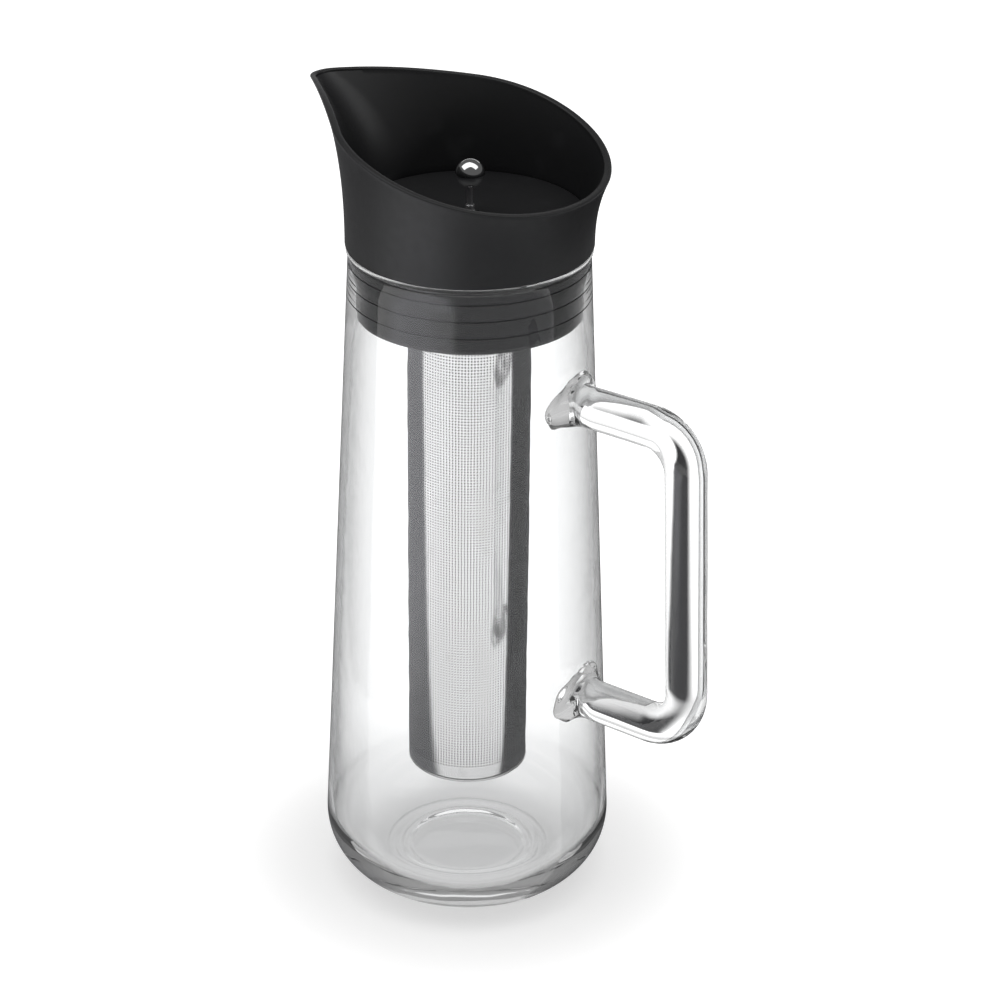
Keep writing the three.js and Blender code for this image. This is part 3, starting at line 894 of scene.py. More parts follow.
@dataclass
class GlassCarafe:
    """Blown carafe with a bent rod handle fused to its wall."""

    height: float = 245.5
    neck_radius: float = 41.0
    neck_wall: float = 1.6
    bead: float = 1.2
    bead_start: float = -0.9
    bead_foot: float = 2.9
    bead_steps: int = 18
    foot_radius: float = 52.6
    corner_radius: float = 23.6
    wall: float = 2.0
    floor: float = 5.5
    even_wall_height: float = 150.0
    bore_foot: float = 220.3
    ripple_start: float = 19.6
    ripple_width: float = 5.6
    ripple_count: int = 2
    ripple_height: float = 0.9
    ripple_steps: int = 14
    kick: float = 0.9
    kick_steps: int = 14
    row: float = 6.0
    sides: int = 256
    corner_steps: int = 28
    rod_radius: float = 7.1
    handle_top: float = 200.3
    handle_bottom: float = 89.0
    reach: float = 50.0
    upper_bend: float = 14.0
    lower_bend: float = 16.0
    pad_radius: float = 7.9
    pad_spread: float = 1.38
    pad_length: float = 8.0
    pad_crown: float = 1.3
    pad_lumps: float = 0.2
    pad_lean: float = 0.4
    pad_flatness: float = 0.22
    pad_tuck: float = 0.45
    lump_turns: float = 1.8
    lump_rise: float = 0.05
    lump_run: float = 0.22
    rod_waviness: float = 0.012
    wave_rise: float = 0.045
    root_depth: float = 1.6
    rod_sides: int = 72
    bend_steps: int = 28
    rod_step: float = 4.0
    root_steps: tuple[float, ...] = (-0.8, 0.0, 0.5, 1.0, 1.5, 2.1, 2.8, 3.6, 4.5, 5.5, 6.6, 7.8, 9.1, 10.5)

    @property
    def taper(self) -> float:
        """Lean of the wall."""
        return math.atan2(self.foot_radius - self.neck_radius, self.height)

    def wall_radius(self, height: float) -> float:
        """Outer radius of the wall at a height."""
        return self.foot_radius + (self.neck_radius - self.foot_radius) * height / self.height

    def rows(self, start: Place, end: Place) -> list[Place]:
        """Evenly spaced points between two places, neither included.

        Args:
            start: First place.
            end: Last place.

        Returns:
            The points between them.
        """
        first, last = Vector(start), Vector(end)
        count = max(1, round((last - first).length / self.row))
        return [tuple(first.lerp(last, step / count)) for step in range(1, count)]

    def vessel(self) -> Form:
        """Turned vessel, from the middle of its underside round to the middle of its floor.

        Returns:
            The vessel.
        """
        taper, steps = self.taper, self.corner_steps
        corner = self.wall_radius(0) - self.corner_radius * math.tan((QUARTER_TURN + taper) / 2)
        bore = self.neck_radius - self.neck_wall
        shares = [step / self.kick_steps for step in range(self.kick_steps)]
        under = [(corner * share, self.kick * (1 + math.cos(math.pi * share)) / 2) for share in shares]
        outer = arc((corner, self.corner_radius), self.corner_radius, -QUARTER_TURN, taper, steps)
        root = self.height - self.bead_foot
        bead = arc((bore + self.bead, self.height - self.bead), self.bead, self.bead_start, math.pi, self.bead_steps)
        top = [(self.wall_radius(root), root), *bead]
        inner_corner = self.corner_radius - self.wall
        inner = arc((corner, self.floor + inner_corner), inner_corner, taper, -QUARTER_TURN, steps)
        knee = (bore, self.bore_foot)
        even = (self.wall_radius(self.even_wall_height) - self.wall, self.even_wall_height)
        ripple_end = self.ripple_start + self.ripple_width * self.ripple_count
        inner = [place for place in inner if place[0] > ripple_end or place[1] > self.floor + inner_corner / 2]
        ripple_steps = self.ripple_steps * self.ripple_count
        ripples = []
        for step in range(ripple_steps, -1, -1):
            across = self.ripple_start + (ripple_end - self.ripple_start) * step / ripple_steps
            swell = (1 - math.cos(FULL_TURN * step * self.ripple_count / ripple_steps)) / 2
            rise = inner_corner - math.sqrt(inner_corner**2 - max(0.0, across - corner) ** 2)
            ripples.append((across, self.floor + rise + self.ripple_height * swell))
        middle = [(self.ripple_start * step / 5, self.floor) for step in (4, 3, 2, 1, 0)]
        profile = [*under, *outer, *self.rows(outer[-1], top[0]), *top, *self.rows(top[-1], knee), knee]
        profile += [*self.rows(knee, even), even, *self.rows(even, inner[0]), *inner, *ripples, *middle]
        return turned(profile, self.sides)

    def rod_path(self) -> list[tuple[Vector, float]]:
        """Centre line of the handle's rod, from the upper root round to the lower.

        Returns:
            Points, each with its distance from the nearer root.
        """
        taper = self.taper
        out = Vector((math.cos(taper), 0, math.sin(taper)))
        down = Vector((math.sin(taper), 0, -math.cos(taper)))
        upper = Vector((self.wall_radius(self.handle_top), 0, self.handle_top))
        lower = Vector((self.wall_radius(self.handle_bottom), 0, self.handle_bottom))
        near = [-self.root_depth, *self.root_steps]

        def arm(bend: float) -> list[float]:
            """Distances along an arm up to its bend."""
            last = self.reach - bend
            count = round((last - near[-1]) / self.rod_step)
            return near + [near[-1] + (last - near[-1]) * step / count for step in range(1, count + 1)]

        path = [(upper + out * away, away) for away in arm(self.upper_bend)]
        centre = upper + out * (self.reach - self.upper_bend) + down * self.upper_bend
        for step in range(1, self.bend_steps):
            angle = QUARTER_TURN * step / self.bend_steps
            path.append((centre + (out * math.sin(angle) - down * math.cos(angle)) * self.upper_bend, self.reach))
        start = upper + out * self.reach + down * self.upper_bend
        end = lower + out * self.reach - down * self.lower_bend
        count = round((end - start).length / self.rod_step)
        path += [(start.lerp(end, step / count), self.reach) for step in range(count + 1)]
        centre = lower + out * (self.reach - self.lower_bend) - down * self.lower_bend
        for step in range(1, self.bend_steps):
            angle = QUARTER_TURN * step / self.bend_steps
            path.append((centre + (out * math.cos(angle) + down * math.sin(angle)) * self.lower_bend, self.reach))
        path += [(lower + out * away, away) for away in reversed(arm(self.lower_bend))]
        return path

    def pad_share(self, away: float) -> float:
        """Share of the pad's shape at a distance from the root, 1 at the wall and 0 on the plain rod."""
        share = min(1.0, max(0.0, (away - self.pad_crown) / self.pad_length))
        return (1 - share) ** 2 * (1 + 2 * share)

    def rod_radius_at(self, away: float, angle: float, place: Vector) -> float:
        """Radius of the rod, with its squashed pad near the wall and a slight unevenness.

        Args:
            away: Distance from the nearer root.
            angle: Angle round the rod.
            place: Point on the centre line.

        Returns:
            The radius.
        """
        fall = self.pad_share(away)
        radius = self.rod_radius + (self.pad_radius - self.rod_radius) * fall
        radius *= 1 + (self.pad_spread - 1) * fall * math.sin(angle) ** 2
        radius *= 1 - self.pad_flatness * fall * math.cos(angle) ** 2
        if away < self.pad_crown:
            radius -= self.pad_tuck * ((self.pad_crown - away) / self.pad_crown) ** 2
        turn = Vector((math.cos(angle), math.sin(angle), 0))
        spot = turn * self.lump_turns + Vector((0, 0, place.z * self.lump_rise + away * self.lump_run))
        lump = noise.noise(spot) * self.pad_lumps * fall
        ripple = noise.noise(place * self.wave_rise + (turn + Vector((0, 0, 3))) * 0.5) * self.rod_waviness
        return radius * (1 + lump + ripple)

    def rod(self) -> Form:
        """Bent rod with a pad at each end.

        Returns:
            The rod.
        """
        path = self.rod_path()
        rings = []
        for number, (centre, away) in enumerate(path):
            before, after = path[max(0, number - 1)][0], path[min(len(path) - 1, number + 1)][0]
            along = (after - before).normalized()
            side = Vector((0, 1, 0))
            normal = side.cross(along)
            ring = []
            for step in range(self.rod_sides):
                angle = FULL_TURN * step / self.rod_sides
                way = normal * math.cos(angle) + side * math.sin(angle)
                reach = way * self.rod_radius_at(away, angle, centre)
                reach.z += self.pad_lean * self.pad_share(away) * reach.y
                ring.append(centre + reach)
            rings.append(ring)
        return lofted(rings, capped=True)

    def build(self) -> None:
        """Fuses the rod to the vessel and places the glass."""
        mesh = combined(self.vessel(), [self.rod()], Joint.ADD, "carafe_glass")
        place_piece("carafe_glass", mesh, GLASS, Body.CARAFE, ["carafe_body", "handle"], 40)


@dataclass
class PouringCollar:
    """Black shell that opens from the neck's round to a teardrop rim."""

    foot: float = 245.8
    foot_radius: float = 42.1
    rim_flare: float = 4.4
    flare_lean: float = 0.15
    reach: float = 70.2
    tip_radius: float = 6.5
    stations: tuple[Place, ...] = ((46.5, 24.9), (0.0, 36.3), (-46.5, 44.2), (-70.2, 43.2))
    wall: float = 2.6
    cap: float = 0.9
    cap_squareness: float = 3.2
    well_radius: float = 39.8
    well_depth: float = 8.6
    well_chamfer: float = 0.8
    flange: float = 2.2
    flange_bore: float = 36.8
    round_share: float = 2.3
    spout_share: float = 2.6
    tip_share: float = 0.6
    crowding: float = 0.75
    foot_round: float = 0.5
    well_round: float = 0.4
    slope_step: float = 0.001
    sections: int = 360
    wall_steps: int = 30
    cap_steps: int = 12

    def rim_height(self, across: float) -> float:
        """Height of the rim over the collar's foot.

        Args:
            across: Place along the spout's axis.

        Returns:
            The height.
        """
        total = 0.0
        for number, (place, height) in enumerate(self.stations):
            weight = 1.0
            for other, (there, _) in enumerate(self.stations):
                if other != number:
                    weight *= (across - there) / (place - there)
            total += height * weight
        return total

    def teardrop(self, angle: float, round_radius: float, reach: float, tip: float) -> float:
        """Radius of a teardrop seen from above.

        Args:
            angle: Angle round the axis.
            round_radius: Radius of its round part.
            reach: Distance of its tip.
            tip: Radius of its tip.

        Returns:
            The radius at that angle.
        """
        away = abs(math.pi - angle)
        middle = reach - tip
        if middle < AXIS_REACH:
            return round_radius
        tangent = math.acos(min(1.0, (round_radius - tip) / middle))
        edge = math.atan2(tip * math.sin(tangent), middle + tip * math.cos(tangent))
        if away >= tangent:
            return round_radius
        if away >= edge:
            return round_radius / math.cos(tangent - away)
        return middle * math.cos(away) + math.sqrt(max(0.0, tip**2 - (middle * math.sin(away)) ** 2))

    def section(self, angle: float) -> list[Place]:
        """Closed cross-section of the shell at one angle.

        Args:
            angle: Angle round the axis.

        Returns:
            Its points, radius and height over the collar's foot.
        """
        flare = self.rim_flare * (1 + self.flare_lean * math.cos(angle))
        rim = self.teardrop(angle, self.foot_radius + flare, self.reach, self.tip_radius)
        rim_height = self.rim_height(rim * math.cos(angle))

        def outside(share: float) -> Vector:
            """Point of the outer face.

            Args:
                share: Share of the height, 0 at the foot and 1 at the rim.

            Returns:
                The point.
            """
            radius = self.foot_radius + flare * share**self.round_share
            reach = self.foot_radius + (self.reach - self.foot_radius) * share**self.spout_share
            tip = radius + (self.tip_radius - radius) * share**self.tip_share
            return Vector((self.teardrop(angle, radius, reach, tip), rim_height * share))

        def inside(share: float) -> Vector:
            """Point of the inner face, a wall's thickness in.

            Args:
                share: Share of the height, 0 at the foot and 1 at the rim.

            Returns:
                The point.
            """
            below = max(0.0, share - self.slope_step)
            slope = outside(below + self.slope_step) - outside(below)
            return outside(share) - Vector((slope.y, -slope.x * (1 - share))).normalized() * self.wall

        edge = outside(0.0)
        shares = [step / self.wall_steps for step in range(self.wall_steps + 1)]
        outer = [edge + Vector((-self.foot_round, 0)), edge + Vector((-self.foot_round * 0.3, self.foot_round * 0.08))]
        outer += [outside(max(share, self.foot_round / rim_height)) for share in shares]
        cap = []
        for step in range(1, self.cap_steps):
            turn = math.pi * step / self.cap_steps
            power = 2 / self.cap_squareness
            level = math.copysign(abs(math.cos(turn)) ** power, math.cos(turn))
            rise = self.cap * math.sin(turn) ** power
            cap.append(outside(1.0) + Vector((-(1 - level) * self.wall / 2, rise)))
        well_top = self.flange + self.well_depth
        start = (well_top + self.well_chamfer) / rim_height
        inner = [inside(start + (1 - start) * share) for share in reversed(shares)]
        well = [(self.well_radius, well_top), (self.well_radius, self.flange + self.well_round)]
        well.append((self.well_radius - self.well_round, self.flange))
        well += [(self.flange_bore, self.flange), (self.flange_bore, 0.0)]
        return [tuple(point) for point in [*outer, *cap, *inner]] + well

    def shell(self) -> Form:
        """Shell lofted round the axis, its sections crowded towards the spout.

        Returns:
            The shell.
        """
        rings = []
        for number in range(self.sections):
            even = FULL_TURN * number / self.sections
            angle = even + self.crowding * math.sin(even)
            way = Vector((math.cos(angle), math.sin(angle), 0))
            rings.append([way * r + Vector((0, 0, self.foot + h)) for r, h in self.section(angle)])
        return lofted(rings, closed=True)

    def build(self) -> None:
        """Places the shell."""
        place_piece("collar_shell", self.shell(), COLLAR_BLACK, Body.LID, ["pouring_collar"], 32)


@dataclass
class NeckPlug:
    """Plug in the neck: finned silicone sleeve, rigid core with windows, and the filter's socket."""

    foot: float = 221.5
    depth: float = 24.0
    seal_radius: float = 39.2
    seal_inner: float = 36.8
    fin_reach: float = 39.46
    fin_count: int = 3
    fin_pitch: float = 6.0
    fin_root: float = 0.9
    fin_tip: float = 0.35
    core_radius: float = 36.5
    core_bore: float = 35.1
    core_foot: float = 1.2
    foot_radius: float = 38.3
    seat_foot: float = 26.8
    seat_top: float = 30.7
    seat_radius: float = 39.5
    socket_bore: float = 22.5
    socket_radius: float = 25.65
    groove_radius: float = 24.45
    groove: Place = (5.3, 7.7)
    socket_depth: float = 15.5
    socket_bead: float = 0.9
    socket_bead_height: float = 1.2
    arm_count: int = 3
    arm_start: float = 3.6
    arm_height: float = 3.0
    arm_width: float = 2.4
    hub_radius: float = 5.0
    hub_bore: float = 2.9
    hub_height: float = 5.0
    bush_bore: float = 1.15
    bush_radius: float = 2.6
    bush_flange_radius: float = 4.0
    bush_flange: float = 1.0
    grip_ring_radius: float = 23.25
    grip_cord_radius: float = 0.9
    window_count: int = 6
    window_rib: float = 5.0
    window_border: float = 1.3
    window_ease: float = 0.9
    window_steps: int = 12
    sides: int = 192

    def seal(self) -> Form:
        """Silicone sleeve with three thin fins.

        Returns:
            The sleeve.
        """
        low, high = self.foot + self.core_foot + CLEARANCE, self.foot + self.depth
        corners: list[Corner] = [(self.seal_inner, low, 0.2), (self.seal_radius - 0.15, low, 0.25)]
        corners.append((self.seal_radius, low + 1.0, 0.3))
        for fin in range(1, self.fin_count + 1):
            middle = self.foot + fin * self.fin_pitch
            root, tip = self.fin_root / 2, self.fin_tip / 2
            corners += [(self.seal_radius, middle - root, 0.15), (self.fin_reach, middle - tip, 0.1)]
            corners += [(self.fin_reach, middle + tip, 0.1), (self.seal_radius, middle + root, 0.15)]
        corners += [(self.seal_radius, high, 0.3), (self.seal_inner, high, 0.2)]
        return ring_of(corners, self.sides)

    def window(self, number: int) -> Form:
        """Cutter for one window of the foot.

        Args:
            number: Which window.

        Returns:
            The cutter.
        """
        inner = self.socket_radius + CLEARANCE + self.window_border
        outer = self.core_bore - self.window_border
        middle = math.pi * (2 * number + 1) / self.window_count
        half = math.pi / self.window_count - self.window_rib / 2 / inner
        outline = []
        for radius, ends in ((outer, (-1, 1)), (inner, (1, -1))):
            for step in range(self.window_steps + 1):
                share = ends[0] + (ends[1] - ends[0]) * step / self.window_steps
                ease = self.window_ease * abs(share) ** 12
                away = radius + (ease if radius == inner else -ease)
                angle = middle + half * share
                outline.append((away * math.cos(angle), away * math.sin(angle)))
        return prism(outline, self.foot - 1, self.foot + self.core_foot + 1)

    def core(self) -> bpy.types.Mesh:
        """Rigid core: a sleeve with the valve's seat on top and a windowed foot.

        Returns:
            The core's mesh.
        """
        foot, inner, outer = self.foot, self.socket_radius + CLEARANCE, self.foot_radius
        corners: list[Corner] = [
            (inner, foot, 0.2),
            (outer, foot, 0.4),
            (outer, foot + self.core_foot, 0.2),
            (self.core_radius, foot + self.core_foot, 0),
            (self.core_radius, foot + self.seat_foot, 0),
            (self.seat_radius, foot + self.seat_foot, 0.3),
            (self.seat_radius, foot + self.seat_top, 0.6),
            (self.core_bore, foot + self.seat_top, 0.6),
            (self.core_bore, foot + self.core_foot, 0.5),
            (inner, foot + self.core_foot, 0.2),
        ]
        cutters = [self.window(number) for number in range(self.window_count)]
        return combined(ring_of(corners, self.sides), cutters, Joint.CUT, "plug_core")

    def socket(self) -> bpy.types.Mesh:
        """Socket for the filter, with three arms to the stem's hub.

        Returns:
            The socket's mesh.
        """
        foot = self.foot
        lip, top = foot + self.core_foot + CLEARANCE, foot + self.socket_depth + self.arm_height
        corners: list[Corner] = [
            (self.socket_bore, foot, 0.3),
            (self.socket_radius, foot, 0.3),
            (self.socket_radius, lip, 0),
            (self.socket_radius + self.socket_bead, lip, 0.15),
            (self.socket_radius, lip + self.socket_bead_height, 0.2),
            (self.socket_radius, top, 0.4),
            (self.socket_bore, top, 0.4),
            (self.socket_bore, foot + self.groove[1], 0),
            (self.groove_radius, foot + self.groove[1], 0),
            (self.groove_radius, foot + self.groove[0], 0),
            (self.socket_bore, foot + self.groove[0], 0),
        ]
        base, start, end = foot + self.socket_depth, self.arm_start, self.socket_bore + CLEARANCE
        half = self.arm_width / 2
        arm = prism([(start, -half), (end, -half), (end, half), (start, half)], base, base + self.arm_height)
        turns = [FULL_TURN * number / self.arm_count for number in range(self.arm_count)]
        arms = [arm.moved(Matrix.Rotation(turn, 4, "Z")) for turn in turns]
        hub: list[Corner] = [
            (self.hub_bore, base, 0.2),
            (self.hub_radius, base, 0.3),
            (self.hub_radius, base + self.hub_height, 0.5),
            (self.hub_bore, base + self.hub_height, 0.2),
        ]
        arms.append(ring_of(hub, 64))
        return combined(ring_of(corners, self.sides), arms, Joint.ADD, "plug_socket")

    def bush(self) -> Form:
        """Flanged bush that guides the stem.

        Returns:
            The bush.
        """
        low, high = heights("guide_bush")
        flange = high - self.bush_flange
        corners: list[Corner] = [
            (self.bush_bore, low, 0.15),
            (self.bush_radius, low, 0.2),
            (self.bush_radius, flange, 0),
            (self.bush_flange_radius, flange, 0.2),
            (self.bush_flange_radius, high, 0.3),
            (self.bush_bore, high, 0.2),
        ]
        return ring_of(corners, 64)

    def grip(self) -> Form:
        """Round elastic ring in the socket's groove."""
        low, high = heights("filter_grip_ring")
        section = arc((self.grip_ring_radius, (low + high) / 2), self.grip_cord_radius, 0, FULL_TURN, 16)[:-1]
        return turned(section, self.sides, closed=True)

    def build(self) -> None:
        """Places the plug's pieces."""
        place_piece("plug_seal", self.seal(), SILICONE, Body.LID, ["neck_seal"])
        place_piece("plug_core", self.core(), CORE_BLACK, Body.LID, ["neck_core"])
        place_piece("plug_socket", self.socket(), CORE_BLACK, Body.LID, ["filter_socket"])
        place_piece("stem_bush", self.bush(), BUSH_WHITE, Body.LID, ["guide_bush"])
        place_piece("grip_cord", self.grip(), SILICONE, Body.LID, ["filter_grip_ring"])


@dataclass
class LiftValve:
    """Valve: the disc that is the collar's floor, on a stem with a ball on top."""

    disc_radius: float = 39.2
    disc_thickness: float = 2.4
    boss_radius: float = 7.0
    boss_height: float = 1.5
    spigot: float = 1.1
    seal_width: float = 2.6
    seal_outer: float = 39.05
    stem_radius: float = 1.0
    stem_bore: float = 1.3
    ball_radius: float = 5.0
    sleeve_radius: float = 1.8
    sleeve_bead: float = 0.7
    sleeve_step: float = 0.25
    grommet_radius: float = 3.0
    washer_radius: float = 2.9
    nut_flats: float = 4.0
    sides: int = 192

    def disc(self) -> Form:
        """Disc with an eased top edge, a spigot ring and a boss below.

        Returns:
            The disc.
        """
        top = heights("valve_disc")[1]
        foot, hole = top - self.disc_thickness, self.grommet_radius + CLEARANCE
        spigot = self.disc_radius - self.seal_width - CLEARANCE
        corners: list[Corner] = [
            (hole, foot - self.boss_height, 0.1),
            (self.boss_radius, foot - self.boss_height, 0.4),
            (self.boss_radius, foot, 0.4),
            (spigot - self.seal_width, foot, 0.3),
            (spigot - self.seal_width, foot - self.spigot, 0.3),
            (spigot, foot - self.spigot, 0.2),
            (spigot, foot, 0),
            (self.disc_radius, foot, 0.2),
            (self.disc_radius, top, 0.8),
            (hole, top, 0.25),
        ]
        return ring_of(corners, self.sides)

    def ball(self) -> Form:
        """Ball with a blind bore for the stem.

        Returns:
            The ball.
        """
        top = heights("ball_knob")[1]
        middle = top - self.ball_radius
        mouth = math.atan2(-math.sqrt(self.ball_radius**2 - self.stem_bore**2), self.stem_bore)
        profile = [(0.0, middle - 1.0), (self.stem_bore, middle - 1.0)]
        profile += arc((0, middle), self.ball_radius, mouth, QUARTER_TURN, 64)
        profile[-1] = (0.0, top)
        return turned(profile, 96)

    def stem(self) -> Form:
        """Straight rod with eased ends."""
        low, high = heights("valve_stem")
        corners: list[Corner] = [(0, low, 0), (self.stem_radius, low, 0.3), (self.stem_radius, high, 0.3), (0, high, 0)]
        return turned(softened(corners, closed=False), 48)

    def sleeve(self) -> Form:
        """Small bright sleeve at the stem's foot, with a bead round its foot.

        Returns:
            The sleeve.
        """
        low, high = heights("stem_ferrule")
        corners: list[Corner] = [
            (self.stem_bore, low, 0),
            (self.sleeve_radius, low, 0.15),
            (self.sleeve_radius, low + self.sleeve_bead, 0.15),
            (self.sleeve_radius - self.sleeve_step, low + 1.0, 0.15),
            (self.sleeve_radius - self.sleeve_step, high, 0.25),
            (self.stem_bore - 0.1, high, 0.1),
        ]
        return ring_of(corners, 64)

    def ring(self, node: str, inner: float, outer: float, soft: float, sides: int) -> Form:
        """Plain ring in the place of a frame node.

        Args:
            node: Node that gives its heights.
            inner: Inner radius.
            outer: Outer radius.
            soft: Softness of its corners.
            sides: Points round the axis.

        Returns:
            The ring.
        """
        low, high = heights(node)
        corners: list[Corner] = [(inner, low, soft), (outer, low, soft), (outer, high, soft), (inner, high, soft)]
        return ring_of(corners, sides)

    def nut(self, node: str) -> bpy.types.Mesh:
        """Hexagon nut with chamfered corners.

        Args:
            node: Node that gives its heights.

        Returns:
            The nut's mesh.
        """
        low, high = heights(node)
        reach = self.nut_flats / 2 / math.cos(math.pi / 6)
        outline = [(reach * math.cos(math.pi * k / 3), reach * math.sin(math.pi * k / 3)) for k in range(6)]
        chamfer: list[Corner] = [
            (reach + 3, low - 1, 0),
            (reach + 3, high + 1, 0),
            (reach - 1.0, high + 1, 0),
            (reach - 0.3, high, 0),
            (reach + 0.05, high - 0.3, 0),
            (reach + 0.05, low + 0.3, 0),
            (reach - 0.3, low, 0),
            (reach - 1.0, low - 1, 0),
        ]
        bore = turned([(0, low - 1), (self.stem_bore, low - 1), (self.stem_bore, high + 1), (0, high + 1)], 48)
        cutters = [bore, turned([corner[:2] for corner in chamfer], 48, closed=True)]
        return combined(prism(outline, low, high), cutters, Joint.CUT, node)

    def build(self) -> None:
        """Places the valve's pieces."""
        body = Body.VALVE
        width = self.disc_radius - self.seal_width
        place_piece("valve_floor", self.disc(), COLLAR_BLACK, body, ["valve_disc"])
        place_piece("ball_on_stem", self.ball(), MIRROR_STEEL, body, ["ball_knob"], 60)
        place_piece("stem_rod", self.stem(), DRAWN_STEEL, body, ["valve_stem"])
        place_piece("stem_sleeve", self.sleeve(), DRAWN_STEEL, body, ["stem_ferrule"])
        seal = self.ring("valve_seal", width, self.seal_outer, 0.25, self.sides)
        place_piece("disc_seal", seal, SILICONE, body, ["valve_seal"])
        grommet = self.ring("stem_grommet", self.stem_bore, self.grommet_radius, 0.2, 64)
        place_piece("stem_seal", grommet, SILICONE, body, ["stem_grommet"])
        for node in ("clamp_washer", "stop_washer"):
            washer = self.ring(node, self.stem_bore, self.washer_radius, 0.12, 64)
            place_piece(f"{node}_ring", washer, MIRROR_STEEL, body, [node])
        for node in ("clamp_nut", "stop_nut"):
            place_piece(f"{node}_hex", self.nut(node), MIRROR_STEEL, body, [node], 25)


@dataclass
class SteelFilter:
    """Filter: a rolled, perforated sheet with a folded rim and a pressed base."""

    radius: float = 21.25
    wall: float = 0.5
    seam_angle: float = -22.0
    seam_step: float = 0.28
    seam_run: float = 16.0
    seam_width: float = 0.06
    edge_soft: float = 0.12
    band_radius: float = 22.05
    band_height: float = 9.0
    fold_height: float = 4.0
    pan: float = 1.0
    spigot: float = 5.0
    dish: float = 0.35
    dish_edge: float = 5.0
    dish_foot: float = 3.8
    weld_count: int = 6
    weld_angle: float = -51.0
    weld_radius: float = 0.42
    weld_rise: float = 0.09
    weld_root: float = 0.1
    sides: int = 288

    def sheet_radius(self, angle: float) -> float:
        """Outer radius of the rolled sheet, a step lower past its lapped edge.

        Args:
            angle: Angle round the tube in degrees.

        Returns:
            The radius.
        """
        past = (angle - self.seam_angle) % TURN_DEGREES
        if past > self.seam_run:
            return self.radius
        share = past / self.seam_run
        return self.radius - self.seam_step * (1 - share) ** 2 * (1 + 2 * share)

    def tube(self) -> Form:
        """Rolled sheet with its lapped seam.

        Returns:
            The tube.
        """
        low, high = heights("filter_tube")
        angles = [TURN_DEGREES * side / self.sides for side in range(self.sides)]
        seam, soft = self.seam_angle % TURN_DEGREES, self.edge_soft
        angles = sorted([a for a in angles if abs(a - seam) > 0.5] + [seam - self.seam_width, seam])
        rows = softened([(0.5, low, soft), (1.0, low, soft), (1.0, high, soft), (0.5, high, soft)])
        rings = []
        for share, height in rows:
            inwards = (1 - share) * 2 * self.wall
            ring = []
            for angle in angles:
                turn, reach = math.radians(angle), self.sheet_radius(angle) - inwards
                if share < 0.75:
                    reach = self.radius - inwards
                ring.append(Vector((reach * math.cos(turn), reach * math.sin(turn), height)))
            rings.append(ring)
        return lofted(rings, closed=True)

    def weld(self, number: int, height: float) -> Form:
        """Small round weld, slightly proud of the base's side.

        Args:
            number: Which weld.
            height: Its height.

        Returns:
            The weld.
        """
        size, root, rise = self.weld_radius, -self.weld_root, self.weld_rise
        dome = [(size * math.cos(QUARTER_TURN * k / 5), rise * math.sin(QUARTER_TURN * k / 5)) for k in range(5)]
        form = turned([(0.0, root), (size, root), *dome, (0.0, rise)], 20)
        turn = math.radians(self.weld_angle + TURN_DEGREES * number / self.weld_count)
        place = Matrix.Rotation(turn, 4, "Z") @ Matrix.Translation((self.radius, 0, height))
        return form.moved(place @ Matrix.Rotation(QUARTER_TURN, 4, "Y"))

    def base(self) -> Form:
        """Pressed base with a rolled edge and a spigot inside the tube.

        Returns:
            The base.
        """
        low = heights("filter_base")[0]
        inner = self.radius - self.wall - CLEARANCE
        corners: list[Corner] = [
            (0, low + self.dish, 0),
            (self.radius - self.dish_edge, low + self.dish, 1.2),
            (self.radius - self.dish_foot, low, 1.0),
            (self.radius, low, 0.55),
            (self.radius, low + self.pan, 0.2),
            (inner, low + self.pan, 0),
            (inner, low + self.pan + self.spigot, 0.15),
            (inner - self.wall, low + self.pan + self.spigot, 0.15),
            (inner - self.wall, low + self.pan, 0.3),
            (0, low + self.pan, 0),
        ]
        return turned(softened(corners, closed=False), self.sides)

    def rim(self) -> Form:
        """Folded rim over the tube's top edge.

        Returns:
            The rim.
        """
        top = heights("filter_rim")[1]
        outer, inner = self.band_radius, self.radius - self.wall - CLEARANCE
        lid, soft = top - self.wall, self.edge_soft
        corners: list[Corner] = [
            (outer - self.wall, top - self.band_height, soft),
            (outer, top - self.band_height, soft),
            (outer, top, 0.5),
            (inner - self.wall, top, 0.5),
            (inner - self.wall, top - self.fold_height, soft),
            (inner, top - self.fold_height, soft),
            (inner, lid, 0.1),
            (outer - self.wall, lid, 0.1),
        ]
        return ring_of(corners, self.sides)

    def build(self) -> None:
        """Places the filter's pieces."""
        low = heights("filter_base")[0]
        base = self.base()
        for number in range(self.weld_count):
            base = base.joined(self.weld(number, low + self.pan / 2))
        place_piece("sieve_tube", self.tube(), SIEVE_STEEL, Body.FILTER, ["filter_tube"], 30)
        place_piece("sieve_base", base, SATIN_STEEL, Body.FILTER, ["filter_base"], 30)
        place_piece("sieve_rim", self.rim(), SATIN_STEEL, Body.FILTER, ["filter_rim"], 30)


# ---------------------------------------------------------------- studio


@dataclass
class Lamp:
    """One soft area lamp, placed in the camera's frame: right, away and up, in metres."""

    name: str
    place: tuple[float, float, float]
    target: tuple[float, float, float]
    size: tuple[float, float]
    power: float


class CardView(Enum):
    """Kinds of path that a card is seen along."""

    MIRRORED = "mirrored"
    OUTSIDE = "outside"
    EDGE = "edge"
    ROD = "rod"


@dataclass
class Card:
    """One glowing card over the floor, a painted reflection or, for card_rod, a painted dark streak through the handle,
    placed in the camera's frame, in metres and degrees, and its brightness.
    """

    name: str
    middle: Place
    size: Place
    turn: float
    soft: float
    grey: float
    view: CardView


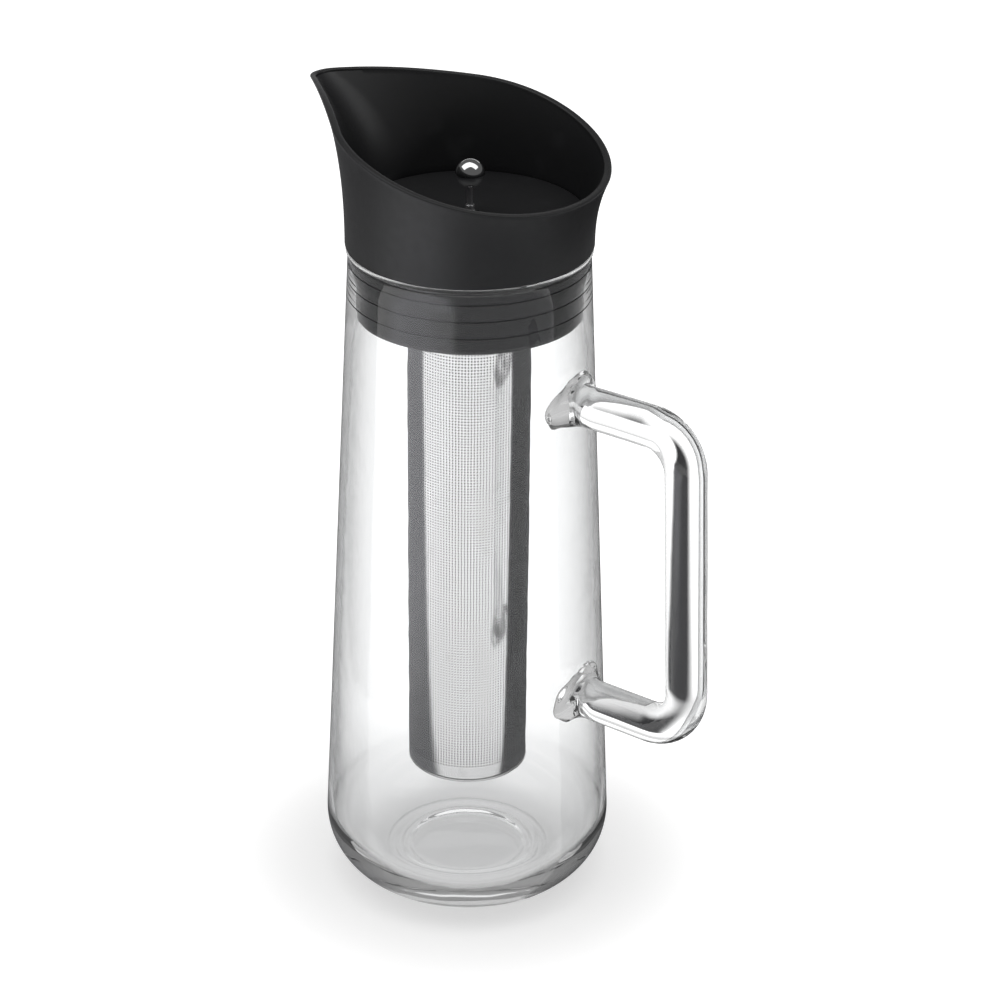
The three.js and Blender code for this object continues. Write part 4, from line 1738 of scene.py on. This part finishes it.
class RayPaths:
    """Masks of how a ray came to the floor, a card or the room, and the painted dimming of light caught in the glass.
    """

    deep_walls: float = 2.5
    single_bounce: float = 1.5
    # Over caught_from to caught_full glossy depths, floor and room are painted dimmer by caught_loss for light caught
    # inside the glass: painted shade on the handle's pads and the base corner.
    caught_from: float = 2.5
    caught_full: float = 5.5
    caught_loss: float = 0.62

    def __init__(self, wiring: Wiring) -> None:
        """Reads the path of the ray.

        Args:
            wiring: Tree of the floor's, a card's or the room's material.
        """
        rays = wiring.node("LightPath").outputs
        through = rays["Transmission Depth"]
        self.entered = wiring.math("GREATER_THAN", through, 0.5)
        # Painted shade: light caught inside the glass sees the floor and room dimmer.
        wear_and_caught_shade = wiring.ramp(rays["Glossy Depth"], self.caught_from, self.caught_full, 0.0, self.caught_loss)
        self.kept = wiring.math("SUBTRACT", 1.0, wiring.math("MULTIPLY", self.entered, wear_and_caught_shade))
        deep = wiring.math("GREATER_THAN", through, self.deep_walls)
        once = wiring.math("SUBTRACT", self.entered, deep)
        single = wiring.math("LESS_THAN", rays["Glossy Depth"], self.single_bounce)
        self.diffuse = rays["Is Diffuse Ray"]
        self.reflected = wiring.math("GREATER_THAN", rays["Glossy Depth"], 0.5)
        mirrored = wiring.math("MULTIPLY", self.reflected, single)
        edge = wiring.math("MULTIPLY", mirrored, once)
        outside = wiring.math("MULTIPLY", self.reflected, wiring.math("SUBTRACT", 1.0, self.entered))
        self.views = {
            CardView.MIRRORED: wiring.math("MAXIMUM", wiring.math("MULTIPLY", mirrored, deep), outside),
            CardView.OUTSIDE: outside,
            CardView.EDGE: edge,
            CardView.ROD: wiring.math("MULTIPLY", once, wiring.math("SUBTRACT", 1.0, self.reflected)),
        }


@dataclass
class Studio:
    """Pale floor, soft lamps, dark and light cards that paint reflections and a dark streak seen through the handle,
    and the camera.
    """

    azimuth: float = 40.0
    camera_place: tuple[float, float, float] = (0.6249, -0.7276, 0.6402)
    camera_pitch: float = 0.474
    camera_roll: float = 0.010
    lens: float = 110.67
    sensor: float = 36.0
    clip: Place = (0.01, 100.0)
    longest_path: int = 24
    glass_path: int = 20
    mirror_path: int = 12
    floor_size: float = 24.0
    floor_colour: float = 0.8
    floor_glow: float = 0.36
    # far_glow is added only beyond glow_start to glow_end from the axis, so the floor is painted dimmer round the base:
    # a painted shadow ring on top of the real contact shadow.
    far_glow: float = 0.33
    glow_start: float = 0.055
    glow_end: float = 0.125
    # Beyond edge_glow_start to edge_glow the floor loses its glow for edge rays: painted dark reflection on the glass's
    # silhouette.
    edge_glow_start: float = 0.08
    edge_glow: float = 0.1
    room_grey: float = 0.14
    inner_room: float = 0.4
    ambient: float = 0.6
    card_height: float = 0.0008
    card_colour: Colour = (0.98, 0.98, 1.04)
    # Painted reflections: card_left and card_right paint the filter's dark sides, card_far the glass's dark silhouette,
    # card_rod a dark streak seen through the handle's rod; card_front and the glowing light_left paint sheen and
    # highlight on the collar, steel and glass's outer face.
    cards: tuple[Card, ...] = (
        Card("card_left", (-0.362, 0.372), (0.75, 0.8), -4.6, 0.02, 0.12, CardView.MIRRORED),
        Card("card_right", (0.4298, 0.3248), (0.75, 0.8), -5.2, 0.003, 0.025, CardView.MIRRORED),
        Card("card_front", (0.4, -0.55), (1.2, 1.0), 0.0, 0.12, 0.35, CardView.OUTSIDE),
        Card("card_far", (0.0, 0.575), (0.76, 0.14), 0.0, 0.02, 0.03, CardView.EDGE),
        Card("light_left", (-0.5, -0.42), (0.9, 0.66), 0.0, 0.2, 2.2, CardView.OUTSIDE),
        Card("card_rod", (0.165, 0.22), (0.27, 0.4), 0.0, 0.06, 0.03, CardView.ROD),
    )
    lamps: tuple[Lamp, ...] = (
        Lamp("top_left", (-0.46, -0.1, 1.25), (0.0, 0.0, 0.15), (0.9, 1.2), 4.2),
        Lamp("top_right", (0.42, -0.1, 1.25), (0.0, 0.0, 0.15), (0.74, 1.2), 3.4),
        Lamp("back", (0.0, 1.5, 0.6), (0.0, 0.0, 0.2), (1.8, 0.6), 2.5),
    )

    def to_frame(self, place: tuple[float, float, float]) -> Vector:
        """Turns a place in the camera's frame into the part's frame.

        Args:
            place: Right, away and up.

        Returns:
            The place in the part's frame.
        """
        return Matrix.Rotation(math.radians(self.azimuth), 4, "Z") @ Vector(place)

    def sheet(self, name: str, middle: Place, size: Place, turn: float, height: float) -> bpy.types.Object:
        """Flat stage sheet, placed in the camera's frame.

        Args:
            name: Name of the sheet.
            middle: Right and away of its middle, in metres.
            size: Its width and depth in metres.
            turn: Its turn about the upright axis in degrees.
            height: Height over the floor in metres.

        Returns:
            The sheet.
        """
        half, deep = size[0] / 2, size[1] / 2
        corners = [(-half, -deep, 0), (half, -deep, 0), (half, deep, 0), (-half, deep, 0)]
        mesh = bpy.data.meshes.new(name)
        mesh.from_pydata(corners, [], [(0, 1, 2, 3)])
        made = bpy.data.objects.new(name, mesh)
        bpy.context.scene.collection.objects.link(made)
        place = Matrix.Translation(self.to_frame((*middle, height)))
        made.matrix_world = place @ Matrix.Rotation(math.radians(self.azimuth + turn), 4, "Z")
        return made

    def floor(self) -> None:
        """Lays the pale floor, white away from the carafe; its glow is painted lower round the base, a painted shadow
        ring on top of the real shadow, and taken away further out for edge rays, a painted dark reflection on the
        glass's silhouette.
        """
        made = self.sheet("floor", (0.0, 0.0), (self.floor_size, self.floor_size), 0.0, 0.0)
        material = bpy.data.materials.new("pale_floor")
        material.use_nodes = True
        wiring = Wiring(material.node_tree)
        matt = wiring.node("BsdfDiffuse")
        matt.inputs[0].default_value = (self.floor_colour,) * 3 + (1,)
        paths = RayPaths(wiring)
        reach = wiring.node("VectorMath", operation="LENGTH")
        wiring.feed(reach.inputs[0], wiring.node("NewGeometry").outputs["Position"])
        # Painted shadow ring: the extra glow only starts away from the base.
        shadow_ring_ramp = wiring.ramp(reach.outputs["Value"], self.glow_start, self.glow_end, 0.0, self.far_glow)
        level = wiring.math("ADD", shadow_ring_ramp, self.floor_glow)
        # Painted dark reflection: edge rays see no glow on the floor past edge_glow_start.
        near = wiring.ramp(reach.outputs["Value"], self.edge_glow_start, self.edge_glow, 0.0, 1.0)
        edge_reflection_shade = wiring.math("MULTIPLY", near, paths.views[CardView.EDGE])
        seen = wiring.math("SUBTRACT", wiring.math("SUBTRACT", 1.0, paths.diffuse), edge_reflection_shade)
        glow = wiring.node("Emission")
        shown = wiring.math("MULTIPLY", seen, level)
        wiring.feed(glow.inputs["Strength"], wiring.math("MULTIPLY", paths.kept, shown))
        both = wiring.node("AddShader")
        wiring.feed(both.inputs[0], matt.outputs[0])
        wiring.feed(both.inputs[1], glow.outputs[0])
        wiring.feed(wiring.node("OutputMaterial").inputs["Surface"], both.outputs[0])
        made.data.materials.append(material)

    def lay(self, card: Card, height: float) -> None:
        """Lays a glowing card with soft edges, seen only along its kind of path: a painted reflection, or a painted
        streak seen through the glass, never seen straight or in the lighting.

        Args:
            card: The card.
            height: Height over the floor in metres.
        """
        material = bpy.data.materials.new(card.name)
        material.use_nodes = True
        wiring = Wiring(material.node_tree)
        mask = RayPaths(wiring).views[card.view]
        place = wiring.node("SeparateXYZ")
        wiring.feed(place.inputs[0], wiring.node("TexCoord").outputs["Object"])
        for along, size in zip(place.outputs, card.size):
            off = wiring.math("ABSOLUTE", along)
            mask = wiring.math("MULTIPLY", mask, wiring.ramp(off, size / 2 - card.soft, size / 2, 1.0, 0.0))
        shine = wiring.node("Emission")
        shine.inputs[0].default_value = (*self.card_colour, 1)
        shine.inputs["Strength"].default_value = card.grey
        blend = wiring.node("MixShader")
        wiring.feed(blend.inputs[0], mask)
        wiring.feed(blend.inputs[1], wiring.node("BsdfTransparent").outputs[0])
        wiring.feed(blend.inputs[2], shine.outputs[0])
        wiring.feed(wiring.node("OutputMaterial").inputs["Surface"], blend.outputs[0])
        made = self.sheet(card.name, card.middle, card.size, card.turn, height)
        made.data.materials.append(material)
        made.visible_camera = made.visible_diffuse = made.visible_shadow = False

    def room(self) -> None:
        """Sets the world: white behind what is seen straight, a darker room in reflections."""
        world = bpy.context.scene.world or bpy.data.worlds.new("room")
        bpy.context.scene.world = world
        world.use_nodes = True
        wiring = Wiring(world.node_tree)
        paths = RayPaths(wiring)
        fall = wiring.math("MULTIPLY_ADD", paths.views[CardView.OUTSIDE], self.room_grey - 1.0, 1.0)
        inner = wiring.math("MULTIPLY", paths.reflected, paths.entered)
        fall = wiring.math("MULTIPLY_ADD", inner, self.inner_room - 1.0, fall)
        strength = wiring.math("MULTIPLY_ADD", paths.diffuse, wiring.math("SUBTRACT", self.ambient, fall), fall)
        background = wiring.node("Background")
        wiring.feed(background.inputs["Strength"], wiring.math("MULTIPLY", paths.kept, strength))
        wiring.feed(wiring.node("OutputWorld").inputs["Surface"], background.outputs[0])

    def light(self) -> None:
        """Hangs the soft lamps."""
        for lamp in self.lamps:
            data = bpy.data.lights.new(lamp.name, "AREA")
            data.shape, data.energy = "RECTANGLE", lamp.power
            data.size, data.size_y = lamp.size
            made = bpy.data.objects.new(lamp.name, data)
            bpy.context.scene.collection.objects.link(made)
            place, target = self.to_frame(lamp.place), self.to_frame(lamp.target)
            made.location = place
            made.rotation_euler = (target - place).to_track_quat("-Z", "Y").to_euler()
            LOG.info("lamp %s: %.1f W", lamp.name, lamp.power)

    def camera(self) -> None:
        """Sets the camera at the photograph's viewing angle."""
        data = bpy.data.cameras.new("camera")
        data.lens, data.sensor_width = self.lens, self.sensor
        data.clip_start, data.clip_end = self.clip
        made = bpy.data.objects.new("camera", data)
        bpy.context.scene.collection.objects.link(made)
        turn, pitch = math.radians(self.azimuth), self.camera_pitch
        forward = Vector((-math.sin(turn) * math.cos(pitch), math.cos(turn) * math.cos(pitch), -math.sin(pitch)))
        right = Vector((math.cos(turn), math.sin(turn), 0))
        up = right.cross(forward)
        axes = Matrix((right, up, -forward)).transposed().to_4x4()
        place = Matrix.Translation(self.camera_place)
        made.matrix_world = place @ axes @ Matrix.Rotation(self.camera_roll, 4, "Z")
        bpy.context.scene.camera = made

    def look(self) -> None:
        """Sets the plain view transform and the light paths that the glass needs."""
        bpy.context.scene.view_settings.view_transform = "Standard"
        cycles = bpy.context.scene.cycles
        cycles.max_bounces = cycles.transparent_max_bounces = self.longest_path
        cycles.transmission_bounces, cycles.glossy_bounces = self.glass_path, self.mirror_path
        cycles.caustics_reflective = cycles.caustics_refractive = False

    def build(self) -> None:
        """Sets up the whole studio."""
        self.floor()
        for number, card in enumerate(self.cards):
            self.lay(card, self.card_height * (1 + number / 4))
        self.room()
        self.light()
        self.camera()
        self.look()


def main() -> None:
    """Builds the coffee maker's sub-assemblies and the studio, in order."""
    logging.basicConfig(level=logging.INFO, format="%(name)s %(message)s")
    for assembly in (GlassCarafe(), PouringCollar(), NeckPlug(), LiftValve(), SteelFilter(), Studio()):
        LOG.info("building %s", type(assembly).__name__)
        assembly.build()


if __name__ == "__main__":
    main()
